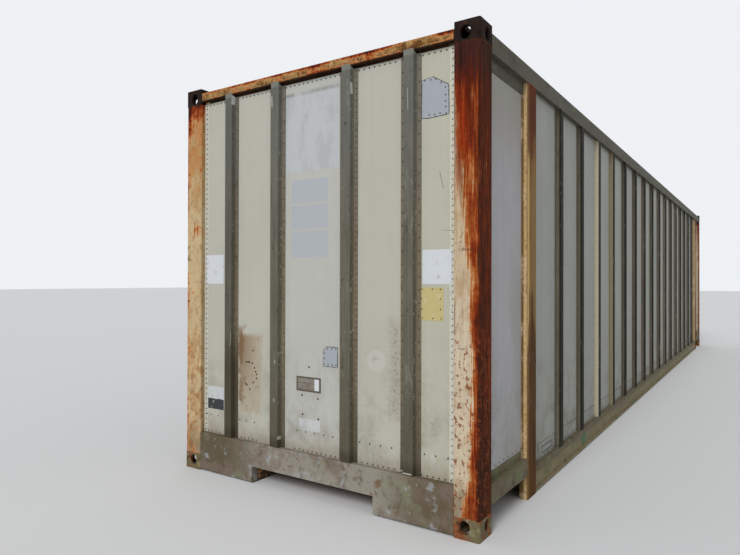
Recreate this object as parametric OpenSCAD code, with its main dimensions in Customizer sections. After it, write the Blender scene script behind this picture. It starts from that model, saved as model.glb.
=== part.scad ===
// High-cube freight container with riveted aluminium walls on a steel end frame.
// Millimetres. Z is up and the origin is at the middle of the base.
// The blind front end faces -X and the right side faces -Y.
// Corner modules are drawn for the front right corner: x runs in from the end face,
// y runs in from the side face, and the other corners are mirrored from it.

/* [Overall] */
// Length over the corner castings
body_l = 12192; // [9144:1:13716]
// Width over the corner castings
body_w = 2438; // [2300:1:2600]
// Height over the corner castings
body_h = 2896; // [2438:1:2896]

/* [Corner castings] */
// Length of a casting along the container
cast_l = 178; // [175:1:190]
// Width of a casting across the container
cast_w = 162; // [155:1:175]
// Height of a casting
cast_h = 118; // [116:1:130]
// Radius of a casting's upright outer edges
cast_r = 12; // [4:1:15]
// Thickness of the slotted face
cast_face = 28; // [24:1:30]
// Thickness of the outer walls that hold the apertures
cast_wall = 16; // [10:1:20]
// Thickness of the walls on the inside of the container
cast_inner = 9; // [6:1:10]
// Thickness of the face that meets the corner post
cast_floor = 10; // [6:1:10]
// Length of the slot in the top or bottom face
slot_l = 124; // [110:1:126]
// Width of the slot and of the end and side apertures
slot_w = 63.5; // [55:0.5:66]
// Height of the end and side apertures
eye_h = 78; // [72:1:78]
// Distance from the end of the container to the slot's centre
slot_from_end = 103.5; // [100:0.5:105]
// Distance from the side of the container to the slot's centre
slot_from_side = 89.5; // [85:0.5:92]

/* [Steel frame] */
// Distance that posts and rails stand back from the castings' faces
frame_inset = 3; // [1:0.5:6]
// Wall of the steel corner posts
post_wall = 6; // [4:0.5:8]
// Outer bend radius of the corner posts
post_r = 10; // [6:1:14]
// Width of the flange that carries the edge of a wall sheet
flange_w = 50; // [30:1:60]
// Thickness of that flange
flange_t = 6; // [4:0.5:8]
// Depth of the top rails and the sills, measured from the castings' faces
rail_d = 60; // [52:1:80]
// Height of the tube in the top rails
rail_h = 60; // [50:1:80]
// Wall of the rail tubes
rail_wall = 5; // [3:0.5:8]
// Distance from the top of the castings down to the top of the rails
roof_drop = 38; // [20:1:50]

/* [Walls] */
// Distance from the castings' faces back to the wall sheets
wall_recess = 40; // [38:1:50]
// Thickness of a wall sheet
sheet_t = 3; // [1.5:0.5:4]
// Width of a wall post's outer face
hat_face = 68; // [50:1:80]
// Width of a wall post between its riveted flanges
hat_base = 80; // [60:1:100]
// Width of each of a wall post's riveted flanges
hat_flange = 30; // [20:1:36]
// Depth of a wall post in front of the sheet
hat_d = 37; // [25:1:37]
// Thickness of a wall post
hat_t = 4; // [2:0.5:6]
// Distance from the middle of the front wall to its inner posts
front_post_in = 305; // [250:1:350]
// Distance from the middle of the front wall to its outer posts
front_post_out = 762; // [650:1:850]
// Distance from the top rail's underside down to the front wall sheet's top edge
front_sheet_drop = 15; // [8:1:30]
// Lap of the front wall posts' crowns over the face of the top rail
hat_lap = 12; // [4:1:20]
// Distance from the front end to the first side wall post
side_post_first = 1560; // [1300:1:1600]
// Spacing of the side wall posts, the roof bows and every second crossmember
bay_pitch = 609.6; // [500:0.1:700]
// Height of the skirt under each top side rail
skirt_h = 50; // [30:1:80]
// Height of the riveted header strip over each end bay
header_h = 83; // [50:1:110]
// Thickness of the header and kick strips
strip_t = 3; // [1.5:0.5:3]

/* [Side posts at the inner lifting positions] */
// Distance from the end of the container to the middle of the post
side_post_s = 867; // [840:1:900]
// Width of the post's outer face
side_post_w = 163; // [140:1:180]
// Width of the post's riveted flanges
side_post_flange = 27; // [20:1:40]
// Wall of the post
side_post_wall = 6; // [4:0.5:8]

/* [Base] */
// Clearance of the rails and sills above the base of the bottom castings
base_gap = 12; // [6:1:20]
// Height of the front sill
front_sill_top = 289; // [260:1:320]
// Plate thickness of the sills and bottom rails
base_plate = 8; // [5:0.5:10]
// Height of the top of the bottom side rails
side_rail_top = 178; // [172:1:200]
// Depth of the lip that hangs from the bottom side rails' outer edge
rail_lip = 38; // [25:1:60]
// Distance from the castings' faces to the bottom rails' web
rail_web = 25; // [15:1:32]
// Height of the underside of the rails in the four end bays
bay_rail_low = 160; // [156:1:175]
// Height of the top of the rails in the four end bays
bay_rail_top = 272; // [240:1:280]
// Height of the kick strip on those rails
kick_h = 55; // [30:1:80]
// Top of the floor
floor_top = 180; // [178:1:190]
// Thickness of the floor
floor_t = 28; // [20:1:30]
// Height of the floor crossmembers
cross_h = 120; // [100:1:130]
// Flange width of the floor crossmembers
cross_w = 45; // [35:1:60]
// Plate thickness of the floor crossmembers
cross_t = 4; // [3:0.5:6]
// Bearers under the floor of each end bay
bearer_n = 2; // [1:3]
// Height of the tunnel for a gooseneck chassis
tunnel_h = 120; // [110:1:120]
// Width of that tunnel
tunnel_w = 1029; // [1000:1:1070]
// Length of that tunnel from the front end
tunnel_l = 3150; // [3000:1:3500]
// Plate thickness of the tunnel
tunnel_t = 4; // [3:0.5:6]

/* [Roof] */
// Thickness of the roof sheet
roof_t = 2; // [1.5:0.5:4]
// Distance that the roof sheet stops short of the castings' side faces
roof_edge = 20; // [10:1:30]
// Thickness of the steel plates between the top castings
header_plate_t = 4; // [3:0.5:6]
// Reach of those plates past the castings, over the roof sheet
header_plate_lap = 60; // [30:1:120]
// Height of a roof bow
bow_h = 40; // [30:1:45]
// Width of a roof bow's web
bow_w = 50; // [40:1:70]
// Width of a roof bow's flanges against the sheet
bow_flange = 20; // [10:1:30]
// Thickness of a roof bow
bow_t = 3; // [2:0.5:4]

/* [Rear end] */
// Distance from the castings' faces to the header's and sill's outer faces
rear_recess = 55; // [55:1:65]
// Depth of the rear header and sill
rear_beam_d = 75; // [60:1:90]
// Height of the rear header
rear_header_h = 110; // [90:1:130]
// Distance that the doors stand behind the header's outer face
door_step = 5; // [4:1:10]
// Thickness of a door
door_t = 42; // [30:1:50]
// Width of the strips along a door's top, bottom and closing edge
door_trim_w = 60; // [40:1:66]
// Thickness of those strips
door_trim_t = 3; // [2:0.5:4]
// Gap around each door that its rubber seal fills
door_gap = 12; // [8:1:16]
// Thickness of the door seals
seal_t = 18; // [10:1:26]
// Outer diameter of a lock rod
rod_d = 34; // [27:1:34]
// Distance from the middle of the container to the inner lock rods
rod_in = 190; // [150:1:250]
// Distance from the corner posts to the outer lock rods
rod_edge = 267; // [240:1:300]
// Wall of the cams around the lock rods
cam_wall = 3; // [2:0.5:4]
// Height of a cam
cam_h = 44; // [36:1:50]
// Thickness of a cam's tongue
cam_t = 14; // [10:1:18]
// Reach of a cam's tongue from the middle of its rod
cam_reach = 60; // [50:1:75]
// Height of a cam keeper
keeper_h = 70; // [60:1:90]
// Width of a cam keeper's lip in front of the tongue
keeper_lip = 22; // [14:1:30]
// Guides on each lock rod
guide_n = 3; // [2:5]
// Distance from the middle guides down to the middle of the upper lock handles
handle_drop = 59; // [45:1:120]
// Height between the two lock handles of a door
handle_step = 140; // [100:1:200]
// Length of a lock handle
handle_l = 480; // [350:1:520]
// Width of the catch under a handle's end
catch_w = 40; // [30:1:60]
// Hinges on each door
hinge_n = 4; // [3:1:5]
// Radius of a hinge's knuckle
knuckle_r = 13; // [10:1:16]
// Height of a hinge's knuckle
knuckle_h = 120; // [90:1:160]
// Length of a hinge's strap along the door
strap_l = 200; // [120:1:205]
// Height of a hinge's strap
strap_h = 70; // [50:1:80]
// Thickness of a hinge's strap
strap_plate = 8; // [6:1:10]
// Radius of a hinge's pin
pin_r = 8; // [6:1:9]
// Height of a hinge pin's end above and below its lugs
pin_end = 6; // [3:1:10]

/* [Hidden] */
$fn = 48;

// Reach of a cutter past the face that it cuts
cut = 1;
// Clearance between the floor or the roof sheet and the frame around it
floor_gap = 2;
// Clearance of the lock rods, cams and handles in their guides, keepers and catches
rod_gap = 0.5;
// Slit between the two doors' seals
seal_split = 1;
// Width of the joint between two wall sheets, under a side post
sheet_joint = 6;
// Gap between a hinge's knuckle and its lugs
hinge_gap = 2;

sheet_back = wall_recess + sheet_t;
front_rail_in = wall_recess - hat_d + hat_t;
post_top = body_h - cast_h;
rail_top = body_h - roof_drop;
rail_low = rail_top - rail_h;
skirt_low = rail_low - skirt_h;
front_sheet_top = rail_low - front_sheet_drop;
side_web_low = skirt_low - header_h;
floor_low = floor_top - floor_t;
clear_w = body_w - 2 * cast_w;
clear_l = body_l - 2 * cast_l;
side_post_near = side_post_s - side_post_w / 2;
side_post_far = side_post_s + side_post_w / 2;
bearer_low = tunnel_h + tunnel_t;
cross_pitch = bay_pitch / 2;
web_back = rail_web + base_plate;
bay_post_room = side_post_far + side_post_flange + hat_base / 2 + hat_flange;
side_post_n = floor((body_l - side_post_first - bay_post_room) / bay_pitch) + 1;
side_post_places = [for (i = [0 : side_post_n - 1]) side_post_first + i * bay_pitch];
rear_header_low = rail_top - rear_header_h;
door_recess = rear_recess + door_step;
door_low = floor_top + door_gap;
door_high = rear_header_low - door_gap;
door_w = (clear_w - 3 * door_gap) / 2;
door_h = door_high - door_low;
door_middle_y = body_w / 2 - cast_w - door_gap - door_w / 2;
rod_low = base_gap + (floor_top - base_gap) / 2;
rod_high = rail_top - rear_header_h / 2;
rod_out = clear_w / 2 - rod_edge;
cam_r = rod_d / 2 + cam_wall;
ring_r = rod_d / 2 + rail_wall;
rod_x = rear_recess - cam_r - 2 * rod_gap;
guide_low = door_low + strap_h;
guide_high = door_high - 2 * strap_h;
guide_step = (guide_high - guide_low) / (guide_n - 1);
handle_high = (guide_low + guide_high) / 2 - handle_drop;

steel_cream = "#c9a878";
steel_rust = "#6b3a24";
casting_brown = "#3b2a22";
sheet_cream = "#d8d3c0";
aluminium_grey = "#8d8d88";
lock_grey = "#9a9a96";
rubber_black = "#202020";

// Places a child drawn at the front right corner at any of the four corners
module at_corner(rear, left)
    mirror([rear, 0, 0]) mirror([0, left, 0])
        translate([-body_l / 2, -body_w / 2, 0]) children();

// Places a child drawn against the right side on either side
module at_side(left)
    mirror([0, left, 0]) translate([-body_l / 2, -body_w / 2, 0]) children();

// Places a child drawn in from the rear end face, with y from the middle
module at_rear() mirror([1, 0, 0]) translate([-body_l / 2, 0, 0]) children();

// Places a child drawn in from the front end face, with y from the middle
module at_front() translate([-body_l / 2, 0, 0]) children();

// Sweeps a profile of y and z along x
module along_x(length) rotate([90, 0, 90]) linear_extrude(length) children();

// Sweeps a profile of x and z along y, half to each side of the middle
module along_y(length)
    translate([0, length / 2, 0]) rotate([90, 0, 0]) linear_extrude(length) children();

// A rectangle from low to high corner
module rect(low, high) translate(low) square(high - low);

// A block from low to high corner
module block(low, high) translate(low) cube(high - low);

// A rectangle with round corners
module round_rect(low, high, r) {
    rect(low + [r, 0], high - [r, 0]);
    rect(low + [0, r], high - [0, r]);
    for (x = [low[0] + r, high[0] - r], y = [low[1] + r, high[1] - r])
        translate([x, y]) circle(r);
}

// A rectangular tube profile from low to high corner
module tube(low, high, wall)
    difference() {
        rect(low, high);
        rect(low + [wall, wall], high - [wall, wall]);
    }

// A slot with round ends along x, centred
module slot(length, width) {
    half = (length - width) / 2;
    for (x = [-half, half]) translate([x, 0]) circle(width / 2);
    rect([-half, -width / 2], [half, width / 2]);
}

// A top hat profile on a wall at y = 0, with its crown towards +y
module hat(face, base, flange, depth, t) {
    top = face / 2;
    foot = base / 2;
    polygon([
        [-foot - flange, 0], [-foot - flange, t], [-foot, t], [-top, depth],
        [top, depth], [foot, t], [foot + flange, t], [foot + flange, 0],
        [foot - t, 0], [top - t, depth - t], [t - top, depth - t], [t - foot, 0]
    ]);
}

// A channel profile on a wall at y = 0, with its crown towards +y
module crown(face, depth, t)
    difference() {
        rect([-face / 2, 0], [face / 2, depth]);
        rect([t - face / 2, -cut], [face / 2 - t, depth - t]);
    }

// Corner casting with its slotted face at z = 0 and its hollow above
module casting() {
    hollow_h = cast_h - cast_face - cast_floor;
    eye_z = cast_face + hollow_h / 2;
    difference() {
        linear_extrude(cast_h) round_rect([0, 0], [cast_l, cast_w], cast_r);
        block([cast_wall, cast_wall, cast_face],
            [cast_l - cast_inner, cast_w - cast_inner, cast_h - cast_floor]);
        translate([slot_from_end, slot_from_side, -cut])
            linear_extrude(cast_face + 2 * cut) slot(slot_l, slot_w);
        translate([-cut, slot_from_side, eye_z]) rotate([0, 90, 0])
            linear_extrude(cast_wall + 2 * cut) slot(eye_h, slot_w);
        translate([slot_from_end, -cut, eye_z]) rotate([-90, 90, 0])
            linear_extrude(cast_wall + 2 * cut) slot(eye_h, slot_w);
    }
}

module bottom_casting(rear, left)
    color(casting_brown) at_corner(rear, left) casting();

module top_casting(rear, left)
    color(casting_brown) at_corner(rear, left)
        translate([0, 0, body_h]) mirror([0, 0, 1]) casting();

// Hollow corner post with the flange behind the side sheet
module corner_post() {
    inset = frame_inset;
    inner = frame_inset + post_wall;
    translate([0, 0, cast_h]) linear_extrude(post_top - cast_h) difference() {
        round_rect([inset, inset], [cast_l, cast_w], post_r);
        rect([inner, inner], [cast_l - post_wall, cast_w - post_wall]);
    }
    block([cast_l - post_wall / 2, sheet_back, bay_rail_top],
        [cast_l + flange_w, sheet_back + flange_t, side_web_low]);
}

// Flange that the front sheet is riveted to
module front_corner_post(left)
    color(steel_cream) at_corner(0, left) {
        corner_post();
        block([sheet_back, cast_w - post_wall / 2, front_sill_top],
            [sheet_back + flange_t, cast_w + flange_w, rail_low]);
    }

// Flange that the closed door's seal bears on
module rear_corner_post(left)
    color(steel_cream) at_corner(1, left) {
        corner_post();
        block([door_recess + door_t, cast_w - post_wall / 2, floor_top],
            [door_recess + door_t + flange_t, cast_w + flange_w, rear_header_low]);
    }

// Steel post at the inner lifting position, on a foot that reaches the ground
module side_post(rear, left)
    color(steel_rust) at_corner(rear, left) {
        depth = wall_recess - frame_inset;
        translate([side_post_s, wall_recess, side_rail_top])
            linear_extrude(skirt_low - side_rail_top) mirror([0, 1])
                crown(side_post_w, depth, side_post_wall);
        block([side_post_near - side_post_flange, wall_recess - side_post_wall, bay_rail_top],
            [side_post_near + side_post_wall / 2, wall_recess, side_web_low]);
        block([side_post_far - side_post_wall / 2, wall_recess - side_post_wall, side_rail_top],
            [side_post_far + side_post_flange, wall_recess, skirt_low]);
        difference() {
            block([side_post_near, frame_inset, 0], [side_post_far, rail_d, side_rail_top]);
            block([side_post_near + base_plate, frame_inset + base_plate, base_plate],
                [side_post_far - base_plate, rail_d - base_plate, side_rail_top - base_plate]);
        }
    }

module front_top_rail()
    color(steel_cream) at_front() {
        along_y(clear_w) tube([front_rail_in, rail_low], [rail_d, rail_top], rail_wall);
        along_y(clear_w - 2 * flange_w)
            rect([sheet_back, rail_low - flange_w], [sheet_back + flange_t, rail_low + rail_wall / 2]);
    }

// Sill plate with its top shelf, its feet and the mouth of the tunnel
module front_sill()
    color(sheet_cream) at_front() {
        mouth = tunnel_w / 2;
        difference() {
            along_y(clear_w) {
                rect([frame_inset, base_gap], [frame_inset + base_plate, front_sill_top]);
                rect([frame_inset, front_sill_top - base_plate], [rail_d, front_sill_top]);
                rect([frame_inset, base_gap], [rail_d, base_gap + base_plate]);
            }
            block([-cut, -mouth - base_plate, -cut], [rail_d + cut, mouth + base_plate, tunnel_h]);
        }
        difference() {
            block([frame_inset, -mouth - base_plate, base_gap],
                [rail_d, mouth + base_plate, tunnel_h + base_plate]);
            block([-cut, -mouth, -cut], [rail_d + cut, mouth, tunnel_h]);
        }
        along_y(clear_w - 2 * flange_w)
            rect([sheet_back, front_sill_top - base_plate / 2],
                [sheet_back + flange_t, front_sill_top + flange_w]);
    }

module front_panel()
    color(sheet_cream) at_front()
        block([wall_recess, -clear_w / 2, front_sill_top],
            [sheet_back, clear_w / 2, front_sheet_top]);

// Posts whose crowns lap over the top rail, with their sides cut on a slope below it
module front_wall_posts()
    color(aluminium_grey) at_front()
        for (y = [-front_post_out, -front_post_in, front_post_in, front_post_out])
            translate([0, y, 0]) difference() {
                translate([wall_recess, 0, front_sill_top]) rotate([0, 0, 90])
                    linear_extrude(rail_low + hat_lap - front_sill_top)
                        hat(hat_face, hat_base, hat_flange, hat_d, hat_t);
                along_y(hat_base + 2 * hat_flange + 2 * cut)
                    polygon([
                        [front_rail_in, rail_low], [wall_recess, front_sheet_top],
                        [wall_recess + cut, front_sheet_top], [wall_recess + cut, rail_top],
                        [front_rail_in, rail_top]
                    ]);
            }

// Sheet of a side wall: one over each end bay and one between the side posts
module side_panel(left)
    color(sheet_cream) at_side(left) {
        middle = side_post_s + sheet_joint / 2;
        for (rear = [0, 1])
            translate([rear * body_l, 0, 0]) mirror([rear, 0, 0])
                block([cast_l, wall_recess, bay_rail_top],
                    [side_post_s - sheet_joint / 2, sheet_back, skirt_low]);
        block([middle, wall_recess, side_rail_top], [body_l - middle, sheet_back, skirt_low]);
    }

module wall_posts(left)
    color(aluminium_grey) at_side(left)
        for (s = side_post_places)
            translate([s, wall_recess, side_rail_top]) mirror([0, 1, 0])
                linear_extrude(skirt_low - side_rail_top)
                    hat(hat_face, hat_base, hat_flange, hat_d, hat_t);

// Top side rail: tube, skirt with its lip, and the web behind the sheet
module top_rail(left)
    color(steel_cream) at_side(left) {
        translate([cast_l, 0, 0]) along_x(clear_l) {
            tube([frame_inset, rail_low], [rail_d, rail_top], rail_wall);
            rect([frame_inset, skirt_low], [frame_inset + rail_wall, rail_low + rail_wall / 2]);
            rect([frame_inset, skirt_low], [sheet_back, skirt_low + rail_wall]);
            rect([sheet_back, side_web_low], [sheet_back + flange_t, rail_low + rail_wall / 2]);
        }
        for (rear = [0, 1])
            translate([rear * body_l, 0, 0]) mirror([rear, 0, 0])
                block([cast_l, wall_recess - strip_t, side_web_low],
                    [side_post_near, wall_recess, skirt_low + rail_wall / 2]);
    }

// Bottom side rail: an outward channel between the side posts, and a box in each end bay
module bottom_rail(left)
    color(sheet_cream) at_side(left) {
        translate([side_post_far, 0, 0]) along_x(body_l - 2 * side_post_far) {
            rect([rail_web, base_gap], [web_back, side_rail_top]);
            rect([frame_inset, base_gap], [web_back, base_gap + base_plate]);
            rect([frame_inset, side_rail_top - base_plate], [rail_d, side_rail_top]);
            rect([frame_inset, side_rail_top - rail_lip],
                [frame_inset + base_plate, side_rail_top]);
        }
        for (rear = [0, 1])
            translate([rear * body_l, 0, 0]) mirror([rear, 0, 0]) {
                translate([cast_l, 0, 0]) along_x(side_post_near - cast_l) {
                    tube([frame_inset, bay_rail_low], [rail_d, bay_rail_top], base_plate);
                    rect([rail_d - base_plate, bearer_low], [rail_d, bay_rail_top]);
                }
                block([cast_l, wall_recess - strip_t, bay_rail_top - base_plate / 2],
                    [side_post_near - side_post_flange, wall_recess, bay_rail_top + kick_h]);
            }
    }

module roof_sheet()
    color(aluminium_grey)
        block([cast_l + floor_gap - body_l / 2, roof_edge - body_w / 2, rail_top],
            [body_l / 2 - cast_l - floor_gap, body_w / 2 - roof_edge, rail_top + roof_t]);

// Steel plates from the front rail and the rear header to a lap over the roof sheet
module header_plates()
    color(steel_cream)
        for (rear = [0, 1])
            mirror([rear, 0, 0]) at_front() along_y(clear_w - 2 * floor_gap) {
                step = cast_l + floor_gap;
                rect([rear ? rear_recess : front_rail_in, rail_top],
                    [step, rail_top + header_plate_t]);
                rect([step - header_plate_t, rail_top + roof_t],
                    [cast_l + header_plate_lap, rail_top + roof_t + header_plate_t]);
            }

// Bows under the roof sheet, over each pair of wall posts and side posts
module roof_bows()
    color(aluminium_grey) at_front()
        for (s = concat([side_post_s, body_l - side_post_s], side_post_places))
            translate([s, 0, 0]) along_y(body_w - 2 * rail_d)
                translate([0, rail_top]) mirror([0, 1])
                    hat(bow_w, bow_w, bow_flange, bow_h, bow_t);

module floor_boards()
    difference() {
        block([rail_d + floor_gap - body_l / 2, rail_d + floor_gap - body_w / 2, floor_low],
            [body_l / 2 - rear_recess - rear_beam_d - floor_gap,
                body_w / 2 - rail_d - floor_gap, floor_top]);
        for (rear = [0, 1], left = [0, 1])
            at_corner(rear, left)
                block([0, 0, floor_low - cut],
                    [cast_l + floor_gap, cast_w + floor_gap, floor_top + cut]);
    }

// Profile of a crossmember, with its web at x = 0
module channel(height) {
    rect([0, 0], [cross_t, height]);
    rect([0, 0], [cross_w, cross_t]);
    rect([0, height - cross_t], [cross_w, height]);
}

// Channels across the floor, open over the tunnel, and low bearers in the end bays
module crossmembers()
    color(steel_rust) at_front() {
        span = body_w - 2 * web_back;
        count = floor((body_l - 2 * side_post_far - cross_w) / cross_pitch);
        first = (body_l - count * cross_pitch) / 2;
        tunnel_half = tunnel_w / 2 + tunnel_t;
        for (i = [0 : count])
            translate([first + i * cross_pitch, 0, floor_low - cross_h])
                if (first + i * cross_pitch < tunnel_l + tunnel_t)
                    for (left = [0, 1])
                        mirror([0, left, 0]) translate([0, (span / 2 + tunnel_half) / 2, 0])
                            along_y(span / 2 - tunnel_half) channel(cross_h);
                else
                    along_y(span) channel(cross_h);
        for (rear = [0, 1])
            translate([rear * body_l, 0, 0]) mirror([rear, 0, 0])
                for (i = [1 : bearer_n])
                    translate([cast_l + i * (side_post_near - cast_l) / (bearer_n + 1), 0, bearer_low])
                        along_y(body_w - 2 * rail_d) channel(floor_low - bearer_low);
    }

// Raised plate, side plates, end plate and bows of the tunnel
module gooseneck_tunnel()
    color(steel_rust) at_front() {
        half = tunnel_w / 2;
        difference() {
            block([rail_d, -half - tunnel_t, base_gap],
                [tunnel_l + tunnel_t, half + tunnel_t, tunnel_h + tunnel_t]);
            block([rail_d - cut, -half, base_gap - cut], [tunnel_l, half, tunnel_h]);
        }
        bow_n = floor((tunnel_l - side_post_far) / bay_pitch);
        for (i = [0 : bow_n - 1])
            translate([side_post_far + cross_pitch + i * bay_pitch, 0, bearer_low])
                along_y(tunnel_w) channel(floor_low - bearer_low);
    }

module rear_header()
    color(steel_cream) at_rear()
        along_y(clear_w)
            tube([rear_recess, rear_header_low], [rear_recess + rear_beam_d, rail_top], rail_wall);

module rear_sill()
    color(steel_rust) at_rear()
        along_y(clear_w)
            tube([rear_recess, base_gap], [rear_recess + rear_beam_d, floor_top], rail_wall);

// Panel with raised strips along its top, its bottom and its closing edge
module door(left)
    color(sheet_cream) at_rear() mirror([0, left, 0]) translate([0, -door_middle_y, 0])
        difference() {
            block([door_recess - door_trim_t, -door_w / 2, door_low],
                [door_recess + door_t, door_w / 2, door_high]);
            block([door_recess - door_trim_t - cut, -door_w / 2 - cut, door_low + door_trim_w],
                [door_recess, door_w / 2 - door_trim_w, door_high - door_trim_w]);
        }

// Rubber frame around each door
module door_seals()
    color(rubber_black) at_rear()
        for (left = [0, 1])
            mirror([0, left, 0]) translate([door_recess + door_t - seal_t, 0, 0])
                along_x(seal_t) difference() {
                    rect([-clear_w / 2, floor_top], [-seal_split / 2, rear_header_low]);
                    rect([door_gap - clear_w / 2, door_low], [-door_gap / 2, door_high]);
                }

// Knuckle on a pin between two lugs on the post, with a strap on the door
module hinge() {
    y = knuckle_r - clear_w / 2;
    lug_high = knuckle_h / 2 + strap_plate;
    translate([door_recess - strap_plate / 2 - knuckle_r, y, 0]) {
        cylinder(r = knuckle_r, h = knuckle_h - 2 * hinge_gap, center = true);
        cylinder(r = pin_r, h = 2 * (lug_high + pin_end), center = true);
        for (z = [-lug_high, knuckle_h / 2])
            translate([0, 0, z]) linear_extrude(strap_plate) {
                circle(knuckle_r);
                rect([-knuckle_r, -knuckle_r], [knuckle_r, 0]);
            }
    }
    block([door_recess - strap_plate, y, -strap_h / 2],
        [door_recess, y + strap_l, strap_h / 2]);
}

module door_hinges()
    color(steel_rust) at_rear()
        for (left = [0, 1], i = [1 : 2 : 2 * hinge_n])
            mirror([0, left, 0])
                translate([0, 0, door_low + i * door_h / (2 * hinge_n)]) hinge();

// Places a child drawn around a lock rod, with its reach towards +y, at one of a door's rods
module at_rod(left, inner)
    at_rear() mirror([0, left, 0])
        translate([rod_x, inner ? -rod_in : -rod_out, 0]) mirror([0, inner, 0]) children();

// Lock rod with a cam at each end
module lock_rod() {
    translate([0, 0, rod_low]) cylinder(d = rod_d, h = rod_high - rod_low);
    for (z = [rod_low, rod_high])
        translate([0, 0, z - cam_h / 2]) linear_extrude(cam_h) {
            circle(cam_r);
            rect([-cam_t / 2, 0], [cam_t / 2, cam_reach]);
        }
}

module lock_rods(left)
    color(lock_grey)
        for (inner = [0, 1]) at_rod(left, inner) lock_rod();

// Bracket that holds a rod against the door
module rod_guide() {
    back = door_recess - rod_x;
    linear_extrude(strap_h) difference() {
        union() {
            circle(ring_r);
            rect([0, -ring_r], [back, ring_r]);
            rect([back - strap_plate, -2 * ring_r], [back, 2 * ring_r]);
        }
        circle(rod_d / 2 + rod_gap);
    }
}

module rod_guides()
    color(steel_rust)
        for (left = [0, 1], inner = [0, 1], i = [0 : guide_n - 1])
            at_rod(left, inner) translate([0, 0, guide_low + i * guide_step]) rod_guide();

// Flat bar with a round end and a hub around its rod
module lock_handle()
    difference() {
        union() {
            cylinder(r = ring_r, h = strap_h, center = true);
            translate([-ring_r, 0, 0]) rotate([0, 90, 0]) linear_extrude(strap_plate) {
                rect([-rod_d / 2, 0], [rod_d / 2, handle_l - rod_d / 2]);
                translate([0, handle_l - rod_d / 2]) circle(rod_d / 2);
            }
        }
        cylinder(d = rod_d, h = strap_h + 2 * cut, center = true);
    }

// Catch on the door, under and in front of a handle's end
module handle_catch() {
    back = door_recess - rod_x;
    front = -ring_r - rod_gap;
    low = -rod_d / 2 - rod_gap;
    translate([0, handle_l - rod_d - catch_w / 2, 0]) along_y(catch_w) {
        rect([back - rail_wall, low - catch_w], [back, low]);
        rect([front - rail_wall, low - rail_wall], [back, low]);
        rect([front - rail_wall, low - rail_wall], [front, 0]);
    }
}

// Places a child drawn for a handle at the height of a door's upper or lower handle
module at_handle(left, inner)
    at_rod(left, inner) translate([0, 0, handle_high - inner * handle_step]) children();

module lock_handles()
    color(lock_grey)
        for (left = [0, 1], inner = [0, 1]) at_handle(left, inner) lock_handle();

module handle_catches()
    color(steel_rust)
        for (left = [0, 1], inner = [0, 1]) at_handle(left, inner) handle_catch();

// Bracket on the header or the sill, around the tongue of a rod's cam
module cam_keeper() {
    back = rear_recess - rod_x;
    front = -cam_t / 2 - rod_gap;
    near = cam_reach + rod_gap;
    far = near + rail_wall;
    translate([0, 0, -keeper_h / 2]) linear_extrude(keeper_h) {
        rect([back - rail_wall, cam_r + rod_gap], [back, far]);
        rect([front - rail_wall, near], [back, far]);
        rect([front - rail_wall, far - keeper_lip], [front, far]);
    }
}

module cam_keepers()
    color(steel_rust)
        for (left = [0, 1], inner = [0, 1], z = [rod_low, rod_high])
            at_rod(left, inner) translate([0, 0, z]) cam_keeper();

module front_right_top_casting() top_casting(0, 0);
module front_left_top_casting() top_casting(0, 1);
module rear_right_top_casting() top_casting(1, 0);
module rear_left_top_casting() top_casting(1, 1);
module front_right_bottom_casting() bottom_casting(0, 0);
module front_left_bottom_casting() bottom_casting(0, 1);
module rear_right_bottom_casting() bottom_casting(1, 0);
module rear_left_bottom_casting() bottom_casting(1, 1);
module front_right_corner_post() front_corner_post(0);
module front_left_corner_post() front_corner_post(1);
module rear_right_corner_post() rear_corner_post(0);
module rear_left_corner_post() rear_corner_post(1);
module front_right_side_post() side_post(0, 0);
module front_left_side_post() side_post(0, 1);
module rear_right_side_post() side_post(1, 0);
module rear_left_side_post() side_post(1, 1);
module right_side_panel() side_panel(0);
module left_side_panel() side_panel(1);
module right_wall_posts() wall_posts(0);
module left_wall_posts() wall_posts(1);
module right_top_rail() top_rail(0);
module left_top_rail() top_rail(1);
module right_bottom_rail() bottom_rail(0);
module left_bottom_rail() bottom_rail(1);
module right_door() door(0);
module left_door() door(1);
module right_lock_rods() lock_rods(0);
module left_lock_rods() lock_rods(1);

front_right_top_casting();
front_left_top_casting();
rear_right_top_casting();
rear_left_top_casting();
front_right_bottom_casting();
front_left_bottom_casting();
rear_right_bottom_casting();
rear_left_bottom_casting();
front_right_corner_post();
front_left_corner_post();
rear_right_corner_post();
rear_left_corner_post();
front_right_side_post();
front_left_side_post();
rear_right_side_post();
rear_left_side_post();
front_top_rail();
front_sill();
front_panel();
front_wall_posts();
right_side_panel();
left_side_panel();
right_wall_posts();
left_wall_posts();
right_top_rail();
left_top_rail();
right_bottom_rail();
left_bottom_rail();
roof_sheet();
header_plates();
roof_bows();
floor_boards();
crossmembers();
gooseneck_tunnel();
rear_header();
rear_sill();
right_door();
left_door();
door_seals();
door_hinges();
right_lock_rods();
left_lock_rods();
rod_guides();
lock_handles();
handle_catches();
cam_keepers();
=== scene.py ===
import math
from functools import reduce

import bmesh
import bpy
import numpy as np
from mathutils import Matrix, Vector


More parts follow.
